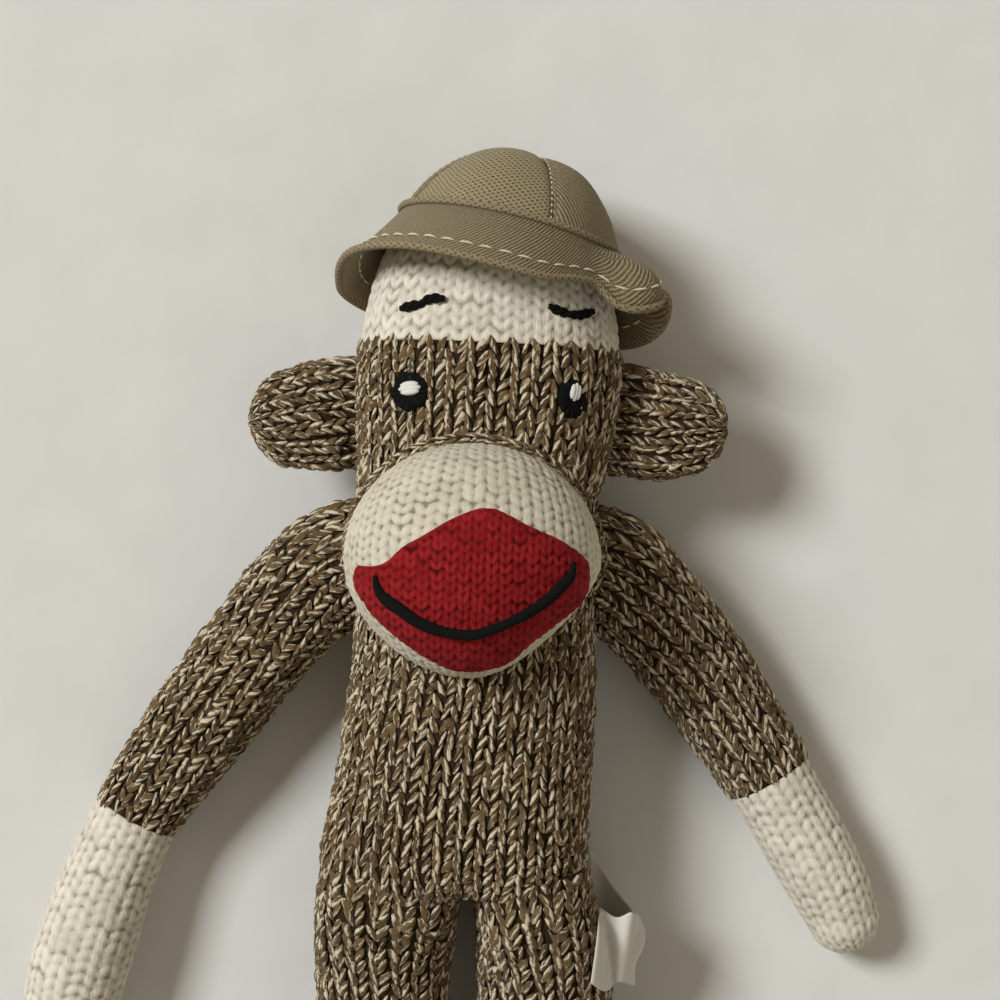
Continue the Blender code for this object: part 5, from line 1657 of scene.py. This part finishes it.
class DOLL_OT_hat_crown(bpy.types.Operator):
    """Sews the hat's crown from four wedge panels"""

    bl_idname = "doll.hat_crown"
    bl_label = "Hat crown"

    def execute(self, context):
        forms = context.scene.doll_forms
        smooth = smooth_through([(r, 0, z) for r, z in CROWN_PROFILE], CROWN_STEPS)
        arc = walked_along(smooth)
        for panel in range(HAT_PANELS):
            net = np.empty((CROWN_STEPS, PANEL_STEPS + 1, 3))
            weave = np.empty((CROWN_STEPS, PANEL_STEPS + 1, 2))
            for column in range(PANEL_STEPS + 1):
                share = column / PANEL_STEPS
                out = out_of(FIRST_SEAM + panel * PANEL_TURN + column * (PANEL_TURN / PANEL_STEPS))
                for row, (radius, _, height) in enumerate(smooth):
                    quarter = math.pi / 2 * radius * forms.hat_radius
                    far = min(share, 1 - share) * quarter / SEAM_HALF_WIDTH
                    groove = SEAM_DEPTH * math.exp(-(far**2)) * min(1.0, radius * 4)
                    puff = PANEL_PUFF * math.sin(math.pi * share) * math.sin(math.pi * min(1, radius))
                    swell = PANEL_SWELL * math.sin(share * 9 + panel * 2) * math.sin(radius * 5 + panel)
                    reach = radius * forms.hat_radius - groove * 0.6 + puff + swell * radius
                    net[row, column] = out * max(0.0, reach)
                    net[row, column, 2] = height * forms.hat_height - groove * (1 - radius) + puff
                    weave[row, column] = ((share - 0.5) * quarter, arc[row] * forms.hat_radius)
            cloth = cloth_sheet(in_doll(net), forms.cloth, weave)
            look = twill(*TWILLS["panel" if panel else "dotted"])
            piece = mesh_object(f"hat_panel_{panel + 1}_cloth", cloth, look)
            declare(piece, "khaki_twill", "hat", f"hat_panel_{panel + 1}")
        return {"FINISHED"}


class DOLL_OT_hat_brim(bpy.types.Operator):
    """Sews the waved brim with its rolled edge, its seam roll and its topstitches"""

    bl_idname = "doll.hat_brim"
    bl_label = "Hat brim"

    def execute(self, context):
        forms = context.scene.doll_forms
        turns = np.linspace(0, 360, BRIM_TURNS + 1)
        shares = np.linspace(0, 1, BRIM_STEPS)
        net = np.array([[brim_surface(turn, share) for turn in turns] for share in shares])
        weave = np.empty((BRIM_STEPS, BRIM_TURNS + 1, 2))
        weave[:, :, 0] = np.radians(turns) * BRIM_WEAVE_RADIUS
        weave[:, :, 1] = shares[:, None] * forms.brim_length
        cloth = cloth_sheet(in_doll(net), forms.cloth, weave, closed=True)
        pieces = [mesh_object("hat_brim_cloth", cloth, twill(*TWILLS["brim"]))]
        for name, (share, radius, rise) in ROLLS.items():
            line = in_doll([brim_surface(turn, share, rise) for turn in turns])
            bm = bmesh.new()
            closed_roll(bm, strand_rings(line, [radius] * len(turns), up=hat_frame()[:3, 2])[1:-2])
            pieces.append(mesh_object(name, bm, twill(*TWILLS["roll"])))
        bm = bmesh.new()
        inward = 1 - STITCH_FROM_EDGE / forms.brim_length
        for side, rise in ((1, STITCH_RISE), (-1, -forms.cloth - STITCH_RISE)):
            line, beyond = (
                in_doll([brim_surface(turn, inward, rise + more) for turn in turns]) for more in (0.0, MM)
            )
            stitch_row(bm, line, (beyond - line) * side, forms.topstitch, TOPSTITCH_FORM)
        for number in range(HAT_PANELS):
            turn = FIRST_SEAM + number * PANEL_TURN
            line = in_doll([
                out_of(turn + SEAM_STITCH_TURN) * (radius * forms.hat_radius + SEAM_STITCH_OUT)
                + np.array([0, 0, height * forms.hat_height + SEAM_STITCH_UP])
                for radius, height in CROWN_PROFILE[3:]
            ])
            ups = np.repeat(in_doll([out_of(turn)]) - in_doll([(0, 0, 0)]), len(line), axis=0)
            stitch_row(bm, line, ups, SEAM_STITCH_PITCH, SEAM_STITCH_FORM)
        pieces.append(mesh_object("hat_topstitches", bm, topstitch_thread()))
        tack_line = in_doll([brim_surface(turn, share, TACK_RISE) for turn, share in TACK_ROUTE])
        bm = bmesh.new()
        ring_loft(bm, strand_rings(tack_line, rounded(len(TACK_ROUTE), TACK_RADIUS, 0.4), 8, 0.7))
        pieces.append(mesh_object("hat_tack", bm, white_yarn()))
        for piece in pieces:
            declare(piece, "khaki_twill", "hat", "hat_brim")
        return {"FINISHED"}


# The care label: places over the doll by share along its loop, at its top and at its bottom end.
LABEL_TOP = (
    (24.6, -30.0, 12.0), (26.8, -33.0, 12.0), (30.2, -37.6, 14.0), (33.6, -41.0, 17.5), (35.4, -42.4, 21.0),
    (34.6, -41.4, 25.4), (32.8, -40.0, 28.2), (30.0, -41.4, 26.6), (26.8, -39.6, 25.8),
)
LABEL_BOTTOM = (
    (26.4, -50.6, 12.0), (28.4, -52.1, 12.0), (30.8, -54.6, 13.0), (33.6, -56.0, 16.0), (34.8, -56.2, 19.6),
    (33.6, -55.4, 23.0), (31.4, -54.4, 25.8), (28.8, -55.6, 24.6), (25.4, -53.4, 22.8),
)
# How far the loop bulges out, in millimetres, from where across the doll, and how little its face does.
LABEL_BULGE = 1.6
LABEL_BULGE_FROM = (31.0, 5.0)
LABEL_FACE_BULGE = 0.15
LABEL_FLAT = (15.5 * MM, 32.5 * MM)
# Points down and along the loop, and the columns at which its bulge ends and its face begins.
LABEL_NET = (24, 40)
LABEL_BULGE_END = 26
LABEL_FACE_START = 28
LABEL_SIDEWAYS = np.array([1.5 * MM, 0, 0])
LABEL_GAP = 2.0 * MM


class DOLL_OT_label(bpy.types.Operator):
    """Folds the blank satin care label out of the side seam"""

    bl_idname = "doll.label"
    bl_label = "Care label"

    def execute(self, context):
        rows, columns = LABEL_NET
        top, bottom = (smooth_through(line, columns) for line in (LABEL_TOP, LABEL_BOTTOM))
        shares = np.linspace(0, 1, rows)[:, None, None]
        net = top * (1 - shares) + bottom * shares
        bulge = np.sin(math.pi * np.minimum(1.0, shares[:, :, 0] * 1.5)) * LABEL_BULGE
        out = np.clip((net[:, :, 0] - LABEL_BULGE_FROM[0]) / LABEL_BULGE_FROM[1], 0, 1)
        net[:, :, 0] += bulge * out * np.where(np.arange(columns) < LABEL_BULGE_END, 1.0, LABEL_FACE_BULGE)
        net *= MM
        leg = rest_tree("leg_lining_right", "torso_lining")
        face = net[:, LABEL_FACE_START:]
        laid = raised_onto(leg, face.reshape(-1, 3) - LABEL_SIDEWAYS, LABEL_GAP) + LABEL_SIDEWAYS
        net[:, LABEL_FACE_START:] = laid.reshape(face.shape)
        weave = np.zeros((rows, columns, 2))
        weave[:, :, 0] = np.linspace(0, 1, columns) * LABEL_FLAT[1]
        weave[:, :, 1] = (np.linspace(0, 1, rows) * LABEL_FLAT[0])[:, None]
        bm = cloth_sheet(net, context.scene.doll_forms.ribbon, weave)
        label = mesh_object("care_label_ribbon", bm, white_satin())
        declare(label, "white_satin", "label", "care_label")
        return {"FINISHED"}


CAMERA_PLACE = (3.5 * MM, 40.1 * MM, 470 * MM)
CAMERA_ROLL = math.radians(2.5)
CAMERA_LENS = 80.7
FLOOR_HALF = 3.0
# The lamps: place, power in watts and size in metres, all turned to the same place on the doll.
LAMPS = {"key": ((-2.7, 1.4, 3.1), 150.0, 1.3), "fill": ((1.2, -0.8, 1.9), 4.8, 2.0)}
LAMP_TARGET = Vector((0, 0.02, 0.02))
LAMP_COLOUR = (0.97, 0.985, 1.0)
WORLD_COLOUR = (1.0, 0.86, 0.60, 1)
WORLD_STRENGTH = 0.225


class DOLL_OT_stage(bpy.types.Operator):
    """Sets the camera, the pale floor and the soft studio light"""

    bl_idname = "doll.stage"
    bl_label = "Stage"

    def execute(self, context):
        scene = context.scene
        camera = new_object("camera", bpy.data.cameras.new("camera"))
        camera.location = CAMERA_PLACE
        camera.rotation_euler = (0, 0, CAMERA_ROLL)
        camera.data.lens = CAMERA_LENS
        camera.data.clip_start = 0.01
        scene.camera = camera
        bm = bmesh.new()
        bmesh.ops.create_grid(bm, x_segments=1, y_segments=1, size=FLOOR_HALF)
        mesh_object("studio_floor", bm, floor_paint())
        for name, (place, power, size) in LAMPS.items():
            lamp = new_object(name, bpy.data.lights.new(name, "AREA"))
            lamp.data.energy = power
            lamp.data.size = size
            lamp.data.color = LAMP_COLOUR
            lamp.location = place
            lamp.rotation_euler = (LAMP_TARGET - Vector(place)).to_track_quat("-Z", "Y").to_euler()
        world = bpy.data.worlds.new("studio")
        world.use_nodes = True
        background = world.node_tree.nodes["Background"]
        background.inputs["Color"].default_value = WORLD_COLOUR
        background.inputs["Strength"].default_value = WORLD_STRENGTH
        scene.world = world
        scene.view_settings.view_transform = "Standard"
        return {"FINISHED"}


OPERATORS = (
    DOLL_OT_stage, DOLL_OT_body, DOLL_OT_legs, DOLL_OT_arms, DOLL_OT_ears, DOLL_OT_tail,
    DOLL_OT_muzzle, DOLL_OT_mouth, DOLL_OT_face, DOLL_OT_hat_crown, DOLL_OT_hat_brim, DOLL_OT_label,
)


class DOLL_PT_pieces(bpy.types.Panel):
    """Lists the doll's pieces in the order in which they are made"""

    bl_idname = "DOLL_PT_pieces"
    bl_label = "Sock monkey doll"
    bl_space_type = "VIEW_3D"
    bl_region_type = "UI"
    bl_category = "Sock Monkey"

    def draw(self, context):
        for operator in OPERATORS:
            self.layout.operator(operator.bl_idname)
        for group in (context.scene.doll_knit, context.scene.doll_forms, context.scene.doll_colours):
            box = self.layout.box()
            for name in group.__annotations__:
                box.prop(group, name)


GROUPS = {"doll_knit": DollKnit, "doll_colours": DollColours, "doll_forms": DollForms}


def register():
    for group in GROUPS.values():
        bpy.utils.register_class(group)
    for operator in OPERATORS:
        bpy.utils.register_class(operator)
    bpy.utils.register_class(DOLL_PT_pieces)
    for name, group in GROUPS.items():
        setattr(bpy.types.Scene, name, bpy.props.PointerProperty(type=group))


def unregister():
    for name in GROUPS:
        delattr(bpy.types.Scene, name)
    for made in (DOLL_PT_pieces, *reversed(OPERATORS), *GROUPS.values()):
        bpy.utils.unregister_class(made)


def main():
    register()
    for operator in OPERATORS:
        group, name = operator.bl_idname.split(".")
        getattr(getattr(bpy.ops, group), name)()


if __name__ == "__main__":
    main()
